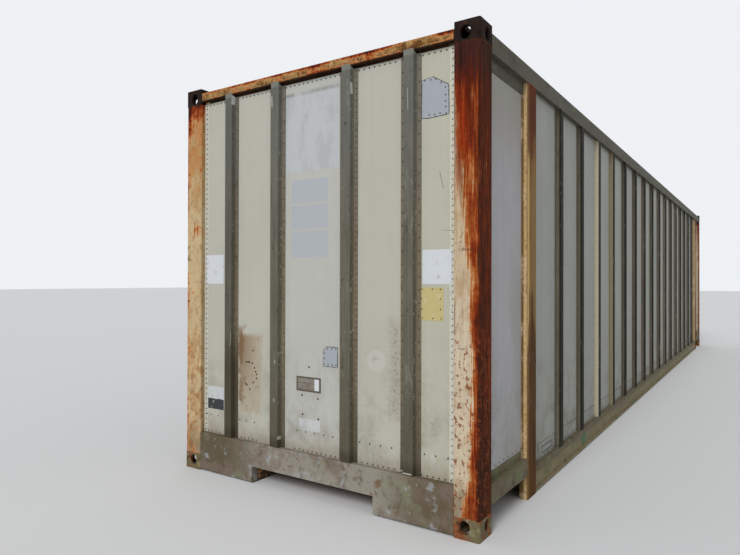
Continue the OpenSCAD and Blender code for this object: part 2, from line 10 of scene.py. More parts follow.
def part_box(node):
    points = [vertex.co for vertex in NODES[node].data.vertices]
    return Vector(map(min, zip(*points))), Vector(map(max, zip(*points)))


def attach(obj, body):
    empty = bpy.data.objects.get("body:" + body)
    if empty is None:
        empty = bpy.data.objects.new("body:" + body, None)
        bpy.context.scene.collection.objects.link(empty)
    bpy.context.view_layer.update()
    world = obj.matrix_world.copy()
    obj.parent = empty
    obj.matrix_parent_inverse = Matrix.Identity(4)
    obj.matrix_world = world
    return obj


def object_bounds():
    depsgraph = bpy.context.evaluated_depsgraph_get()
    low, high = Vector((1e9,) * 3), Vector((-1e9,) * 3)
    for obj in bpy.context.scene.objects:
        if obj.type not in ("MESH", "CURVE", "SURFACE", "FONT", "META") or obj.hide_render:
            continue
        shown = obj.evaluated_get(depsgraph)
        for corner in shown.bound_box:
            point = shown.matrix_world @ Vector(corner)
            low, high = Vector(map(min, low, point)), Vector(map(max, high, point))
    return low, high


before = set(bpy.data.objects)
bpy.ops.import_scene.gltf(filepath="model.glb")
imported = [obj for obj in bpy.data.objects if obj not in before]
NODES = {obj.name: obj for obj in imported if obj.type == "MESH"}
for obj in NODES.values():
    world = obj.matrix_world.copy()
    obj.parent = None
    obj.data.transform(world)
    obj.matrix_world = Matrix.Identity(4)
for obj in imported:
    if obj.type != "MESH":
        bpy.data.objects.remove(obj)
cad_low, cad_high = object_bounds()
FRONT, BACK = cad_low.x, cad_high.x
RIGHT, LEFT = cad_low.y, cad_high.y


# Camera, light and floor ---------------------------------------------------

def linear(c):
    """One channel of a screen colour, 0 to 255, as linear light."""
    c /= 255
    return c / 12.92 if c <= 0.04045 else ((c + 0.055) / 1.055) ** 2.4


def screen(r, g, b):
    """A screen colour, 0 to 255, as linear light."""
    return (linear(r), linear(g), linear(b), 1.0)


FOCUS = 595.666         # the fitted focal length in pixels of the 740 px wide photo
SENSOR = 36
SKY = 0.54              # strength of the world on the object
SUN = 1.76
PALE = (0.86, 0.88, 0.91, 1)
FLOOR = (0.70, 0.71, 0.72, 1)
FLOOR_REACH = 90


def make_camera():
    """The camera that was fitted to the photo: place, turn to the left, tilt and roll."""
    place = Vector((-9.136384, -2.537661, 1.441846))
    yaw, pitch, roll = (math.radians(a) for a in (33.90607, 0.26798, 0.12295))
    ahead = Vector((math.cos(pitch) * math.cos(yaw), math.cos(pitch) * math.sin(yaw),
        math.sin(pitch)))
    level = Vector((math.sin(yaw), -math.cos(yaw), 0))
    over = level.cross(ahead)
    right = math.cos(roll) * level + math.sin(roll) * over
    up = math.cos(roll) * over - math.sin(roll) * level
    data = bpy.data.cameras.new("camera")
    data.sensor_width, data.sensor_fit = SENSOR, "HORIZONTAL"
    data.lens, data.clip_end = FOCUS * SENSOR / 740, 200
    camera = bpy.data.objects.new("camera", data)
    turn = Matrix((right, up, -ahead)).transposed()
    camera.matrix_world = Matrix.Translation(place) @ turn.to_4x4()
    bpy.context.collection.objects.link(camera)
    bpy.context.scene.camera = camera


def make_light():
    """An even pale sky, and one broad soft sun from the front, left and above."""
    data = bpy.data.lights.new("sun", "SUN")
    data.energy, data.angle = SUN, math.radians(24)
    sun = bpy.data.objects.new("sun", data)
    sun.rotation_mode = "QUATERNION"
    sun.rotation_quaternion = Vector((-0.80, -0.12, 0.59)).to_track_quat("Z", "Y")
    bpy.context.collection.objects.link(sun)
    world = bpy.data.worlds.new("sky")
    bpy.context.scene.world = world
    world.use_nodes = True
    tree = world.node_tree
    tree.nodes.clear()
    out, mix, light, seen, rays = (tree.nodes.new("ShaderNode" + kind) for kind in (
        "OutputWorld", "MixShader", "Background", "Background", "LightPath"))
    for node, colour, strength in ((light, (1, 1, 1, 1), SKY), (seen, PALE, 1)):
        node.inputs[0].default_value, node.inputs[1].default_value = colour, strength
    total = rays.outputs["Is Camera Ray"]
    for kind in ("Is Glossy Ray", "Is Transmission Ray"):
        larger = tree.nodes.new("ShaderNodeMath")
        larger.operation = "MAXIMUM"
        tree.links.new(total, larger.inputs[0])
        tree.links.new(rays.outputs[kind], larger.inputs[1])
        total = larger.outputs[0]
    for socket, given in zip(mix.inputs, (total, light.outputs[0], seen.outputs[0])):
        tree.links.new(given, socket)
    tree.links.new(mix.outputs[0], out.inputs[0])


def make_floor():
    """A plain pale floor under the castings."""
    mesh = bpy.data.meshes.new("floor")
    corners = ((-1, -1), (1, -1), (1, 1), (-1, 1))
    mesh.from_pydata([(x * FLOOR_REACH, y * FLOOR_REACH, 0) for x, y in corners], [],
        [(0, 1, 2, 3)])
    floor = bpy.data.objects.new("floor", mesh)
    bpy.context.collection.objects.link(floor)
    mat = bpy.data.materials.new("floor")
    mat.use_nodes = True
    sockets = mat.node_tree.nodes["Principled BSDF"].inputs
    sockets["Base Color"].default_value = FLOOR
    sockets["Roughness"].default_value = 0.9
    sockets["Specular IOR Level"].default_value = 0.1
    mesh.materials.append(mat)


# Finishes ------------------------------------------------------------------

class Finish:
    """A procedural material in the frame's metres, laid down in layers."""

    def __init__(self, name, colour, rough, metal=0.0):
        self.mat = bpy.data.materials.new(name)
        self.mat.use_nodes = True
        self.tree = self.mat.node_tree
        self.tree.nodes.clear()
        self.shader = self.add("BsdfPrincipled")
        self.shader.inputs["Metallic"].default_value = metal
        self.add("OutputMaterial", self.shader.outputs[0])
        self.point = self.add("TexCoord").outputs["Object"]
        self.x, self.y, self.z = self.add("SeparateXYZ", self.point).outputs
        self.colour, self.rough, self.lift = screen(*colour), rough, None

    def put(self, socket, value):
        if isinstance(value, bpy.types.NodeSocket):
            self.tree.links.new(value, socket)
        else:
            socket.default_value = value

    def add(self, kind, *given, **settings):
        """A node with the settings; what is given goes into its first sockets."""
        node = self.tree.nodes.new("ShaderNode" + kind)
        for key, value in settings.items():
            setattr(node, key, value)
        for socket, value in zip(node.inputs, given):
            self.put(socket, value)
        return node

    def math(self, operation, *values):
        return self.add("Math", *values, operation=operation).outputs[0]

    def times(self, *values):
        return reduce(lambda a, b: self.math("MULTIPLY", a, b), values)

    def plus(self, *values):
        return reduce(lambda a, b: self.math("ADD", a, b), values)

    def apart(self, value, centre=0.0):
        """How far the value is from the centre."""
        return self.math("ABSOLUTE", self.math("SUBTRACT", value, centre))

    def rest(self, mask):
        return self.math("SUBTRACT", 1.0, mask)

    def beat(self, value, pitch):
        """0 to 0.5 and back over each pitch, 0 in its middle."""
        return self.apart(self.math("FRACT", self.times(value, 1 / pitch)), 0.5)

    def even(self, value, low, high):
        """0 at low and 1 at high, straight between."""
        return self.add("MapRange", value, low, high).outputs[0]

    def ramp(self, value, low, high):
        """0 at low and 1 at high, smooth between; low may be the larger."""
        return self.add("MapRange", self.made(value), low, high,
            interpolation_type="SMOOTHSTEP").outputs[0]

    def colours(self, value, stops):
        """Colours that run through the stops as the value goes from 0 to 1."""
        node = self.add("ValToRGB", value)
        ends = node.color_ramp.elements
        while len(ends) < len(stops):
            ends.new(0.5)
        for end, (at, colour) in zip(ends, stops):
            end.position, end.color = at, colour
        return node.outputs[0]

    def steps(self, value, stops):
        """A value that follows the stops, each a place and a height."""
        low, high = stops[0][0], stops[-1][0]
        return self.colours(self.even(value, low, high),
            [((at - low) / (high - low), (tall, tall, tall, 1))
            for at, tall in stops])

    def placed(self, stretch, shift):
        return self.add("VectorMath", self.point, stretch, shift,
            operation="MULTIPLY_ADD").outputs[0]

    def noise(self, scale, detail, rough, seed, stretch=(1, 1, 1)):
        """Noise from 0 to 1 about 0.5; a stretch above 1 makes it finer along that axis."""
        node = self.add("TexNoise", self.placed(stretch, (seed * 3.7, seed * 1.9, seed * 5.3)))
        for name, value in (("Scale", scale), ("Detail", detail), ("Roughness", rough)):
            self.put(node.inputs[name], value)
        return node.outputs[0]

    def runs(self, seed, fine, slow, detail=5, rough=0.65):
        """Noise in upright streaks: fine across them and slow along them."""
        return self.noise(1, detail, rough, seed, (fine, fine, slow))

    def made(self, value):
        """The value, or the noise whose scale, detail, roughness, seed and stretch it lists."""
        return self.noise(*value) if isinstance(value, tuple) else value

    def dots(self, scale, size, seed):
        """Round dots of mixed sizes, at most size of a cell wide."""
        node = self.add("TexVoronoi", self.placed((1, 1, 1), (seed * 3.1, seed * 2.3, seed * 4.7)))
        self.put(node.inputs["Scale"], scale)
        sizes = self.add("SeparateXYZ", node.outputs["Color"]).outputs[0]
        reach = self.times(self.math("POWER", sizes, 3.0), size)
        return self.ramp(self.math("SUBTRACT", reach, node.outputs["Distance"]), 0.0, 0.05)

    def box(self, soft, x=None, y=None, z=None, ragged=None):
        """1 inside the box and 0 outside it, over a soft edge."""
        edges = [edge for value, ends in ((self.x, x), (self.y, y), (self.z, z)) if ends
            for edge in (self.math("SUBTRACT", value, min(ends)),
            self.math("SUBTRACT", max(ends), value))]
        inside = reduce(lambda a, b: self.math("MINIMUM", a, b), edges)
        if ragged is not None:
            inside = self.plus(inside, ragged)
        return self.ramp(inside, -soft, soft)

    def spot(self, u, z, soft, ragged=None):
        """A box on the front: its spans in mm from the right edge and above the base."""
        return self.box(soft, y=span(*u), z=heights(*z), ragged=ragged)

    def swung(self, value, share):
        """Noise about 0 instead of 0.5, times the share."""
        return self.times(self.math("SUBTRACT", self.made(value), 0.5), share)

    def mixed(self, share, low, high):
        """The low value where the share is 0 and the high one where it is 1."""
        mix = self.add("Mix", share)
        self.put(mix.inputs[2], low)
        self.put(mix.inputs[3], high)
        return mix.outputs[0]

    def layer(self, colour, *masks, rough=None):
        """Lays the colour down as far as the masks, multiplied, go."""
        mask = self.times(*masks)
        mix = self.add("Mix", mask, data_type="RGBA")
        self.put(mix.inputs[6], self.colour)
        self.put(mix.inputs[7], screen(*colour) if isinstance(colour, tuple) else colour)
        self.colour = mix.outputs[2]
        if rough is not None:
            self.rough = self.mixed(mask, self.rough, rough)

    def where(self, colour, value, low, high, *masks):
        """A layer that fades in as the value goes from low to high, within the masks."""
        self.layer(colour, self.ramp(value, low, high), *masks)

    def swing(self, amount):
        """Multiplies the colour by 1 plus the amount."""
        plain = isinstance(self.colour, tuple)
        scale = self.add("VectorMath", self.colour[:3] if plain else self.colour,
            operation="SCALE")
        self.put(scale.inputs["Scale"], self.plus(amount, 1.0))
        self.colour = scale.outputs[0]

    def vary(self, value, share):
        """Swings the colour by up to about the share as the noise goes from 0 to 1."""
        self.swing(self.swung(value, 2 * share))

    def raise_by(self, value, millimetres):
        height = self.times(self.made(value), millimetres / 1000)
        self.lift = height if self.lift is None else self.plus(self.lift, height)

    def done(self, specular):
        self.put(self.shader.inputs["Base Color"], self.colour)
        self.put(self.shader.inputs["Roughness"], self.rough)
        self.shader.inputs["Specular IOR Level"].default_value = specular
        if self.lift is not None:
            bump = self.add("Bump")
            bump.inputs["Distance"].default_value = 1.0
            self.put(bump.inputs["Height"], self.lift)
            self.put(self.shader.inputs["Normal"], bump.outputs[0])
        return self.mat


def finish(colour, rough, metal=0.0, *, gloss):
    """Makes a function that lays down layers into the material of its name."""
    def painted(layers):
        f = Finish(layers.__name__, colour, rough, metal)
        layers(f)
        return f.done(gloss)
    return painted


CREAM = (177, 176, 165)
DIRT = (112, 104, 88)
SPECK = (70, 62, 50)
RUST = [(at, screen(*colour)) for at, colour in (
    (0.00, (200, 158, 114)), (0.14, (180, 116, 66)), (0.34, (152, 76, 32)),
    (0.56, (120, 42, 15)), (0.80, (84, 31, 17)), (1.00, (44, 25, 19)))]
SMOOTH = (1, 1, 0.6)    # stretches blotches a little along the height
FIRST_POST = FRONT + 1.560
POST_PITCH = 0.6096
CLOSE, WIDE = 0.0381, 0.0762
BOARD = 0.15


def span(u0, u1):
    """A span in mm from the right edge as y."""
    return (RIGHT + u0 / 1000, RIGHT + u1 / 1000)


def heights(z0, z1):
    """A span in mm above the base as z."""
    return (z0 / 1000, z1 / 1000)


def from_right(f):
    """Millimetres from the right edge of the container."""
    return f.times(f.math("SUBTRACT", f.y, RIGHT), 1000.0)


def from_point(f, u, z):
    """Millimetres to the left of and above a point of the front end."""
    return (f.math("SUBTRACT", from_right(f), u), f.math("SUBTRACT", f.times(f.z, 1000.0), z))


def ragged(f, value, noise, share):
    """The value with noise of the share, for an uneven edge."""
    return f.plus(value, f.swung(noise, share))


def weathered(f, low, streak=0.05, mottle=0.04):
    """Old paint on sheet: mottling, rain streaks, grime and specks towards the bottom."""
    f.vary((1.3, 3, 0.55, 1), mottle * 1.5)
    f.vary((9, 4, 0.6, 2), mottle)
    f.vary(f.runs(3, 34, 0.9, 4, 0.6), streak)
    foot = f.ramp(f.z, low + 0.95, low)
    f.layer(DIRT, f.ramp((5, 6, 0.65, 4), 0.42, 0.7), foot, 0.5, rough=0.85)
    f.where(SPECK, f.plus(f.noise(4, 4, 0.55, 6), f.times(foot, 0.25)), 0.58, 0.84,
        f.dots(84, 0.55, 5), 0.4)
    f.raise_by((2.2, 2, 0.55, 7), 3.0)
    f.raise_by((160, 3, 0.55, 8), 0.05)


def rusting(f, level, scale=1.0, streak=0.5, patchy=1.0):
    """Rust that goes with the level, 0 for sound paint and 1 for dark scale all over."""
    blotches = f.plus(f.swung((6 * scale, 5, 0.6, 11), 1.3),
        f.swung((34 * scale, 5, 0.65, 12), 0.9))
    edge = f.plus(level, f.times(blotches, patchy),
        f.swung(f.runs(13, 70 * scale, 2.4 * scale), streak))
    f.layer(f.colours(f.even(edge, 0.42, 1.0), RUST), f.ramp(edge, 0.40, 0.47), rough=0.85)
    pits = f.noise(150 * scale, 3, 0.7, 14)
    worn = f.ramp(edge, 0.46, 0.60)
    f.where((40, 24, 18), pits, 0.54, 0.68, worn, 0.32)
    f.raise_by(f.times(pits, worn), 0.9)
    f.raise_by(f.ramp(edge, 0.44, 0.50), -0.35)


def scratch(f, start, stop, width, colour):
    """A thin straight scratch on the front sheet, between two points in mm."""
    (u0, z0), (u1, z1) = start, stop
    length = math.hypot(u1 - u0, z1 - z0)
    du, dz = (u1 - u0) / length, (z1 - z0) / length
    u, z = from_point(f, u0, z0)
    along = f.plus(f.times(u, du), f.times(z, dz))
    across = f.apart(f.plus(f.times(u, -dz), f.times(z, du)))
    ends = f.times(f.ramp(along, -3.0, 3.0), f.ramp(along, length + 3, length - 3))
    f.where(colour, across, width, width * 0.4, ends, 0.8)


@finish(CREAM, 0.6, gloss=0.2)
def front_sheet_paint(f):
    low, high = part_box("front_panel")
    fray = f.swung((60, 4, 0.7, 201), 0.02)
    fray_wide = f.swung((14, 5, 0.65, 202), 0.16)
    f.where((178, 177, 160), f.y, -0.5, -0.9, 0.8)
    f.layer((178, 178, 172), f.box(0.02, y=(-0.3, 0.3)))
    weathered(f, low.z)
    # A plain pale square and three soft pale bars
    square = f.spot((995, 1463), (2175, 2713), 0.003)
    f.layer((180, 184, 187), square, 0.9)
    clouds = f.noise(5, 5, 0.6, 203, (1, 1.6, 0.8))
    f.where((158, 161, 162), clouds, 0.48, 0.66, square, 0.5)
    # A darker band along the square's top edge: a painted shadow line, with dirt
    f.where((122, 120, 110), clouds, 0.35, 0.55, f.spot((995, 1463), (2694, 2716), 0.012, fray),
        0.7)
    for z0, z1 in ((1962, 2118), (1786, 1946), (1595, 1770)):
        f.layer((166, 172, 179), f.spot((1084, 1398), (z0, z1), 0.004, f.times(fray, 0.3)), 0.85)
    f.layer((192, 195, 196), f.spot((1145, 1327), (436, 511), 0.004, f.times(fray, 0.5)), 0.8)
    f.layer((128, 126, 116), f.spot((1280, 1420), (380, 470), 0.05, fray_wide), 0.5)
    # Stains: tan beside the second post, brown along the fourth, runs above the sill
    tan = f.spot((1672, 1900), (486, 1050), 0.025, f.times(fray_wide, 0.4))
    f.layer((168, 157, 136), tan, 0.8)
    f.where((122, 98, 70), f.z, 0.45, 0.95, tan, f.ramp(f.y, *span(1660, 1920)), 0.85)
    f.where((140, 120, 94), (18, 5, 0.7, 204), 0.5, 0.7, tan, 0.5)
    f.layer((116, 86, 58), f.spot((1862, 1905), (560, 1090), 0.02, fray_wide), 0.7)
    beside = f.spot((535, 600), (600, 1180), 0.05, f.times(fray_wide, 0.6))
    f.where((122, 104, 82), (75, 5, 0.7, 205), 0.5, 0.6, beside, 0.8)
    f.layer((152, 142, 124), beside, 0.35)
    drips = f.runs(208, 90, 3, 4, 0.6)
    f.where((196, 198, 196), drips, 0.48, 0.6,
        f.spot((262, 380), (296, 430), 0.02, f.times(fray_wide, 0.5)), 0.7)
    f.where((120, 110, 92), drips, 0.46, 0.6,
        f.box(0.05, y=(-1.2, 1.2), z=heights(240, 330), ragged=fray_wide), 0.55)
    f.where((152, 143, 125), ragged(f, f.z, (5, 5, 0.65, 210), 0.22), 0.46, 0.29, 0.62)
    # A pale round place with a worn middle
    u, z = from_point(f, 707, 944)
    away = f.math("SQRT", f.plus(f.times(u, u), f.times(z, z)))
    f.where((186, 186, 180), away, 72.0, 62.0, 0.6)
    f.where((150, 150, 146), (30, 4, 0.7, 209), 0.48, 0.58, f.ramp(away, 36.0, 20.0), 0.6)
    # A faint brown run beside the right post
    f.where((158, 122, 92), drips, 0.42, 0.6, f.spot((158, 196), (1500, 2790), 0.01, fray), 0.55)
    # Paint that flakes round the rivets of the two edges
    for u0, u1, share in ((160, 203, 0.9), (2236, 2275, 0.6)):
        strip = f.box(0.004, y=span(u0, u1), z=(0, 3), ragged=fray)
        f.layer((202, 200, 186), strip, share)
        f.where((96, 84, 66), (90, 4, 0.7, 207), 0.56, 0.64, strip, 0.7)
    scratch(f, (267, 2069), (244, 1973), 3.0, (96, 92, 84))
    scratch(f, (175, 1726), (255, 1732), 1.8, (118, 112, 98))


@finish((156, 158, 151), 0.6, gloss=0.2)
def side_sheet_paint(f):
    # The end bays are bluer, and darker and warm under the rail as painted shade; the long stretch
    # between is greenish
    end = f.ramp(f.apart(f.x), 5.22, 5.24)
    f.layer((168, 168, 171), end)
    f.where((152, 148, 141), f.z, 2.0, 2.6, end)
    weathered(f, 0.27, 0.09, 0.07)
    f.where((150, 152, 146), (2.2, 4, 0.6, 211, (1, 1, 0.35)), 0.5, 0.66, 0.6)
    f.where((112, 112, 104), f.runs(212, 40, 5), 0.44, 0.62, f.ramp(f.z, 0.42, 0.18), 0.6)
    f.where((62, 60, 54), (3, 4, 0.6, 213), 0.42, 0.54, f.ramp(f.beat(f.x, WIDE), 0.13, 0.06),
        f.box(0.006, z=heights(232, 284)), 0.7)
    # An empty frame low on the right side
    right = f.ramp(f.y, 0.0, -0.1)
    for margin, tone, share in ((0, (52, 52, 50), 0.9), (0.010, (150, 150, 144), 0.95)):
        place = f.box(0.001, x=(FRONT + 1.18 + margin, FRONT + 1.425 - margin),
            z=(0.204 + margin * 0.9, 0.257 - margin * 0.9))
        f.layer(tone, place, right, share)


@finish(CREAM, 0.6, gloss=0.2)
def door_paint(f):
    weathered(f, 0.2, 0.09, 0.05)
    # Rust runs under the straps and guides, scuffs where the handles swing
    runs = f.runs(221, 64, 2.2)
    out = f.apart(f.y)
    f.where((140, 98, 62), out, 0.8, 0.9, f.ramp(runs, 0.54, 0.64), 0.6)
    for rod in (0.19, 0.79):
        near = f.ramp(f.apart(out, rod), 0.06, 0.02)
        f.where((118, 96, 72), runs, 0.46, 0.6, near, 0.6)
    swept = f.times(f.box(0.06, z=(1.10, 1.36)), f.ramp(out, 0.20, 0.30), f.ramp(out, 0.78, 0.70))
    f.where((104, 96, 84), f.runs(222, 18, 34, 5, 0.7), 0.5, 0.66, swept, 0.4)
    f.where((196, 194, 182), (3.4, 5, 0.6, 223), 0.56, 0.6, 0.35)


def dull_post(f, crown, crest, marks):
    """A dull post: the crown's colour outside, the finish's own on the flanges and webs."""
    f.layer(crown, crest)
    f.vary((1.1, 3, 0.55, 21), 0.14)
    f.vary((16, 5, 0.65, 22, (1, 1, 0.22)), 0.42)
    f.vary(f.runs(23, 110, 2.0, 4, 0.6), 0.44)
    f.where((136, 134, 122), (13, 5, 0.7, 27, (1, 1, 0.3)), 0.58, 0.72, crest, 0.6)
    f.layer((176, 174, 160), f.dots(60, 0.5, 24), marks)
    f.where((52, 45, 36), (26, 5, 0.7, 25, (1, 1, 0.5)), 0.56, 0.7, 0.6)
    f.raise_by((45, 4, 0.55, 26), 0.25)


@finish((118, 108, 90), 0.65, gloss=0.1)
def front_post_aluminium(f):
    dull_post(f, (97, 94, 83), f.ramp(f.x, -6.066, -6.078), 0.5)
    # Greyer near the top, brown with dirt low down and most on the leftmost post
    f.where((104, 108, 106), f.z, 1.6, 2.5, 0.42)
    first = f.ramp(f.y, 0.6, 0.62)
    f.swing(f.times(first, -0.19))
    f.where((62, 56, 42), f.z, 1.15, 0.75, first, 0.85)
    f.where((82, 76, 60), ragged(f, f.z, (14, 4, 0.6, 28), 0.25), 1.1, 0.35, 0.6)
    f.where((58, 52, 40), f.z, 0.4, 0.31, 0.7)
    f.where((128, 131, 122), ragged(f, f.z, (40, 3, 0.55, 29), 0.02), 2.768, 2.784, 0.55)
    for start, stop, width, colour in (
            ((1944, 2790), (1946, 2725), 5.0, (196, 198, 192)),
            ((1551, 2716), (1549, 2640), 5.0, (190, 194, 192)),
            ((1516, 892), (1516, 866), 5.0, (176, 176, 164)),
            ((1525, 626), (1524, 604), 5.0, (180, 180, 168)),
            ((1488, 368), (1488, 346), 5.0, (176, 176, 164)),
            ((879, 2694), (878, 2622), 3.0, (188, 190, 184)),
            ((921, 2447), (922, 2428), 8.0, (52, 50, 44)),
            ((463, 2580), (460, 2449), 2.5, (170, 170, 160)),
            ((1952, 1060), (1958, 960), 3.0, (164, 160, 144)),
            ((566, 300), (432, 300), 5.0, (190, 190, 180))):
        scratch(f, start, stop, width, colour)


@finish((98, 92, 80), 0.65, gloss=0.08)
def side_post_aluminium(f):
    dull_post(f, (32, 31, 23), f.ramp(f.apart(f.y), 1.198, 1.21), 0.0)
    f.where((104, 102, 92), (40, 5, 0.7, 27, (1, 1, 0.5)), 0.6, 0.68, 0.5)
    # Posts differ in tone: the photo shows a cream one and a tan one after two brown ones
    web = f.ramp(f.apart(f.y), 1.214, 1.208)
    count = f.math("FLOOR", f.times(f.math("SUBTRACT", f.x, FIRST_POST - POST_PITCH / 2),
        1 / POST_PITCH))
    hand = f.math("SIGN", f.y)
    chance = f.math("FRACT", f.times(f.math("SINE", f.plus(f.times(count, 7.31), hand)), 91.7))
    f.swing(f.swung(chance, 0.36))
    right = f.ramp(f.y, 0.0, -0.1)
    for index, tone, share in ((2, (186, 178, 156), 0.9), (3, (142, 131, 107), 0.85)):
        middle = FIRST_POST + index * POST_PITCH
        f.layer(tone, f.box(0.002, x=(middle - 0.12, middle + 0.12)), right, web, share)


@finish((190, 168, 130), 0.75, gloss=0.08)
def corner_post_paint(f):
    u = from_right(f)
    front = f.ramp(f.x, 0.0, -0.1)
    right = f.ramp(f.y, 0.0, -0.1)
    share = f.times(front, right)
    f.where((166, 128, 80), f.z, 2.0, 2.45, 0.6)
    f.layer((190, 171, 142), share)
    f.where((200, 190, 172), f.z, 1.6, 1.3, share, 0.45)
    f.vary((5, 4, 0.55, 31), 0.16)
    steady = f.rest(share)
    f.swing(f.swung(f.runs(32, 60, 1.5, 4, 0.6), f.plus(f.times(share, 0.38), 0.14)))
    f.where((164, 122, 76), (9, 5, 0.6, 34, (1, 1, 0.5)), 0.5, 0.66, 0.55)
    f.where((126, 112, 90), ragged(f, f.z, (9, 5, 0.6, 35), 0.5), 0.42, 0.16, 0.8)
    inner = f.ramp(f.apart(f.y), 1.06, 1.05)
    f.where((176, 168, 128), f.z, 1.7, 2.4, inner)
    f.where((128, 106, 74), f.z, 2.2, 1.6, inner, 0.8)
    f.where((88, 62, 40), (3, 4, 0.6, 136), 0.5, 0.6, f.dots(52, 0.4, 33), 0.6)
    grain = f.runs(137, 130, 9, 5, 0.7)
    grained = f.plus(f.times(share, 0.75), 0.25)
    f.where((128, 82, 46), grain, 0.56, 0.66, grained, 0.6)
    f.where((204, 186, 150), grain, 0.44, 0.34, grained, 0.5)
    # The other posts are blotched and specked more than streaked, orange towards the top
    f.where((150, 112, 66), (24, 5, 0.7, 163, SMOOTH), 0.52, 0.64, steady, 0.6)
    f.where((176, 120, 62), (10, 5, 0.6, 167, SMOOTH), 0.44, 0.58, steady, f.ramp(f.z, 1.95, 2.3),
        0.7)
    f.where((138, 84, 44), (17, 5, 0.65, 166), 0.5, 0.6, steady, f.ramp(f.z, 1.15, 0.75), 0.6)
    f.where((92, 60, 34), (5, 4, 0.6, 165), 0.46, 0.58, steady, f.dots(90, 0.5, 164), 0.75)
    outer = f.ramp(f.apart(f.y), 1.2, 1.214)
    # The front right post rusts from its outer edge, and all over near the top
    reach = f.steps(f.z, [(0.0, 0.66), (0.2, 0.55), (0.35, 0.35), (0.8, 0.24), (1.1, 0.3),
        (1.45, 0.31), (1.6, 0.42), (1.85, 0.52), (2.05, 0.6), (2.2, 0.7), (2.4, 0.76),
        (2.6, 0.88), (2.75, 1.0), (2.9, 1.0)])
    depth = f.math("DIVIDE", f.math("SUBTRACT", f.times(reach, 200.0), u), 115.0)
    depth = f.math("MINIMUM", f.math("MAXIMUM", depth, -0.30), 0.27)
    worst = f.plus(depth, 0.41, f.times(f.ramp(f.z, 2.46, 2.74), 0.3),
        f.times(f.ramp(u, 30.0, 8.0), f.ramp(f.z, 1.5, 1.15), 0.22))
    other = f.steps(f.z, [(0.1, 0.36), (0.5, 0.27), (1.2, 0.22), (2.0, 0.26), (2.4, 0.32),
        (2.58, 0.4), (2.7, 0.66), (2.9, 0.86)])
    level = f.plus(f.times(worst, share), f.times(other, f.rest(share)))
    side = f.times(outer, right)
    level = f.mixed(side, level, 0.84)
    level = f.mixed(inner, level, 0.22)
    left = f.times(front, f.rest(right))
    level = f.plus(level, f.swung((7, 5, 0.6, 36, SMOOTH), f.times(share, 0.45)),
        f.swung(f.runs(37, 95, 5.0, 5, 0.6), f.times(share, 0.95)),
        f.times(left, f.ramp(f.y, 1.176, 1.212), 0.2))
    rusting(f, level, 1.0, f.plus(f.times(steady, 0.9), 0.10), f.plus(f.times(steady, 0.5), 0.34))
    shine = f.runs(146, 150, 12, 5, 0.7)
    f.where((100, 32, 12), f.z, 2.05, 2.45, share, f.ramp(u, 176.0, 150.0), 0.42)
    f.where((204, 112, 52), shine, 0.6, 0.68, share, f.box(0.02, y=span(64, 172)),
        f.ramp(f.z, 1.5, 1.8), f.ramp(f.z, 2.62, 2.45), 0.6)
    f.where((38, 22, 18), shine, 0.42, 0.34, share, f.ramp(f.z, 1.2, 1.6), 0.5)
    flow = f.runs(168, 34, 1.3, 4, 0.6)
    within = f.ramp(u, 176.0, 160.0)
    f.where((166, 54, 12), flow, 0.42, 0.58, share, f.box(0.14, z=(1.98, 2.5)), within,
        f.ramp(u, 55.0, 90.0), 0.62)
    f.where((58, 34, 30), ragged(f, f.z, flow, 0.5), 2.5, 2.72, share, 0.75)
    f.where((52, 22, 14), shine, 0.54, 0.64, share, f.ramp(f.z, 1.7, 2.1), 0.6)
    uneven = f.swung(f.runs(170, 46, 2.2, 5, 0.7), 2.6)
    f.swing(f.times(share, f.ramp(f.z, 1.7, 2.1), f.plus(uneven, -0.10)))
    lined = f.runs(169, 60, 4)
    f.where((106, 80, 54), lined, 0.56, 0.64, side, 0.5)
    f.where((34, 20, 14), lined, 0.46, 0.38, side, 0.6)
    f.where((46, 26, 18), f.z, 0.9, 0.4, side, 0.6)
    f.layer((54, 36, 16), side, 0.3)
    # Blisters through the paint that is left, and cracks across the scale
    blister = f.ramp((42, 4, 0.65, 38, (1, 1, 0.8)), 0.555, 0.61)
    low = f.ramp(ragged(f, f.z, (3, 3, 0.55, 39), 0.6), 1.25, 0.95)
    f.layer((122, 62, 34), blister, share, low, within, 0.85)
    for at, u0, u1 in ((1.616, 40, 112), (1.058, 86, 132)):
        gap = f.apart(f.plus(f.z, -at, f.swung((40, 4, 0.7, 40), 0.05)))
        f.where((70, 32, 22), gap, 0.006, 0.002, share, f.ramp(u, u0 - 6.0, u0 + 6.0),
            f.ramp(u, u1 + 6.0, u1 - 6.0), 0.6)
    split = f.apart(f.plus(u, -152.0, f.swung((14, 3, 0.55, 46), 16.0)))
    f.where((70, 40, 28), split, 3.2, 1.2, share, f.box(0.012, z=(1.178, 1.311)), 0.8)
    # Gashes in the outer edge of the front left post
    for z, tilt in ((1.672, 0.9), (1.612, -0.5), (1.588, 1.2), (1.27, 0.3)):
        off = f.plus(f.z, -z, f.times(f.math("SUBTRACT", f.y, LEFT), tilt))
        gash = f.ramp(f.apart(f.plus(off, f.swung((40, 3, 0.55, 47), 0.012))), 0.008, 0.003)
        f.where((58, 36, 26), f.y, 1.172, 1.186, gash, left, 0.85)


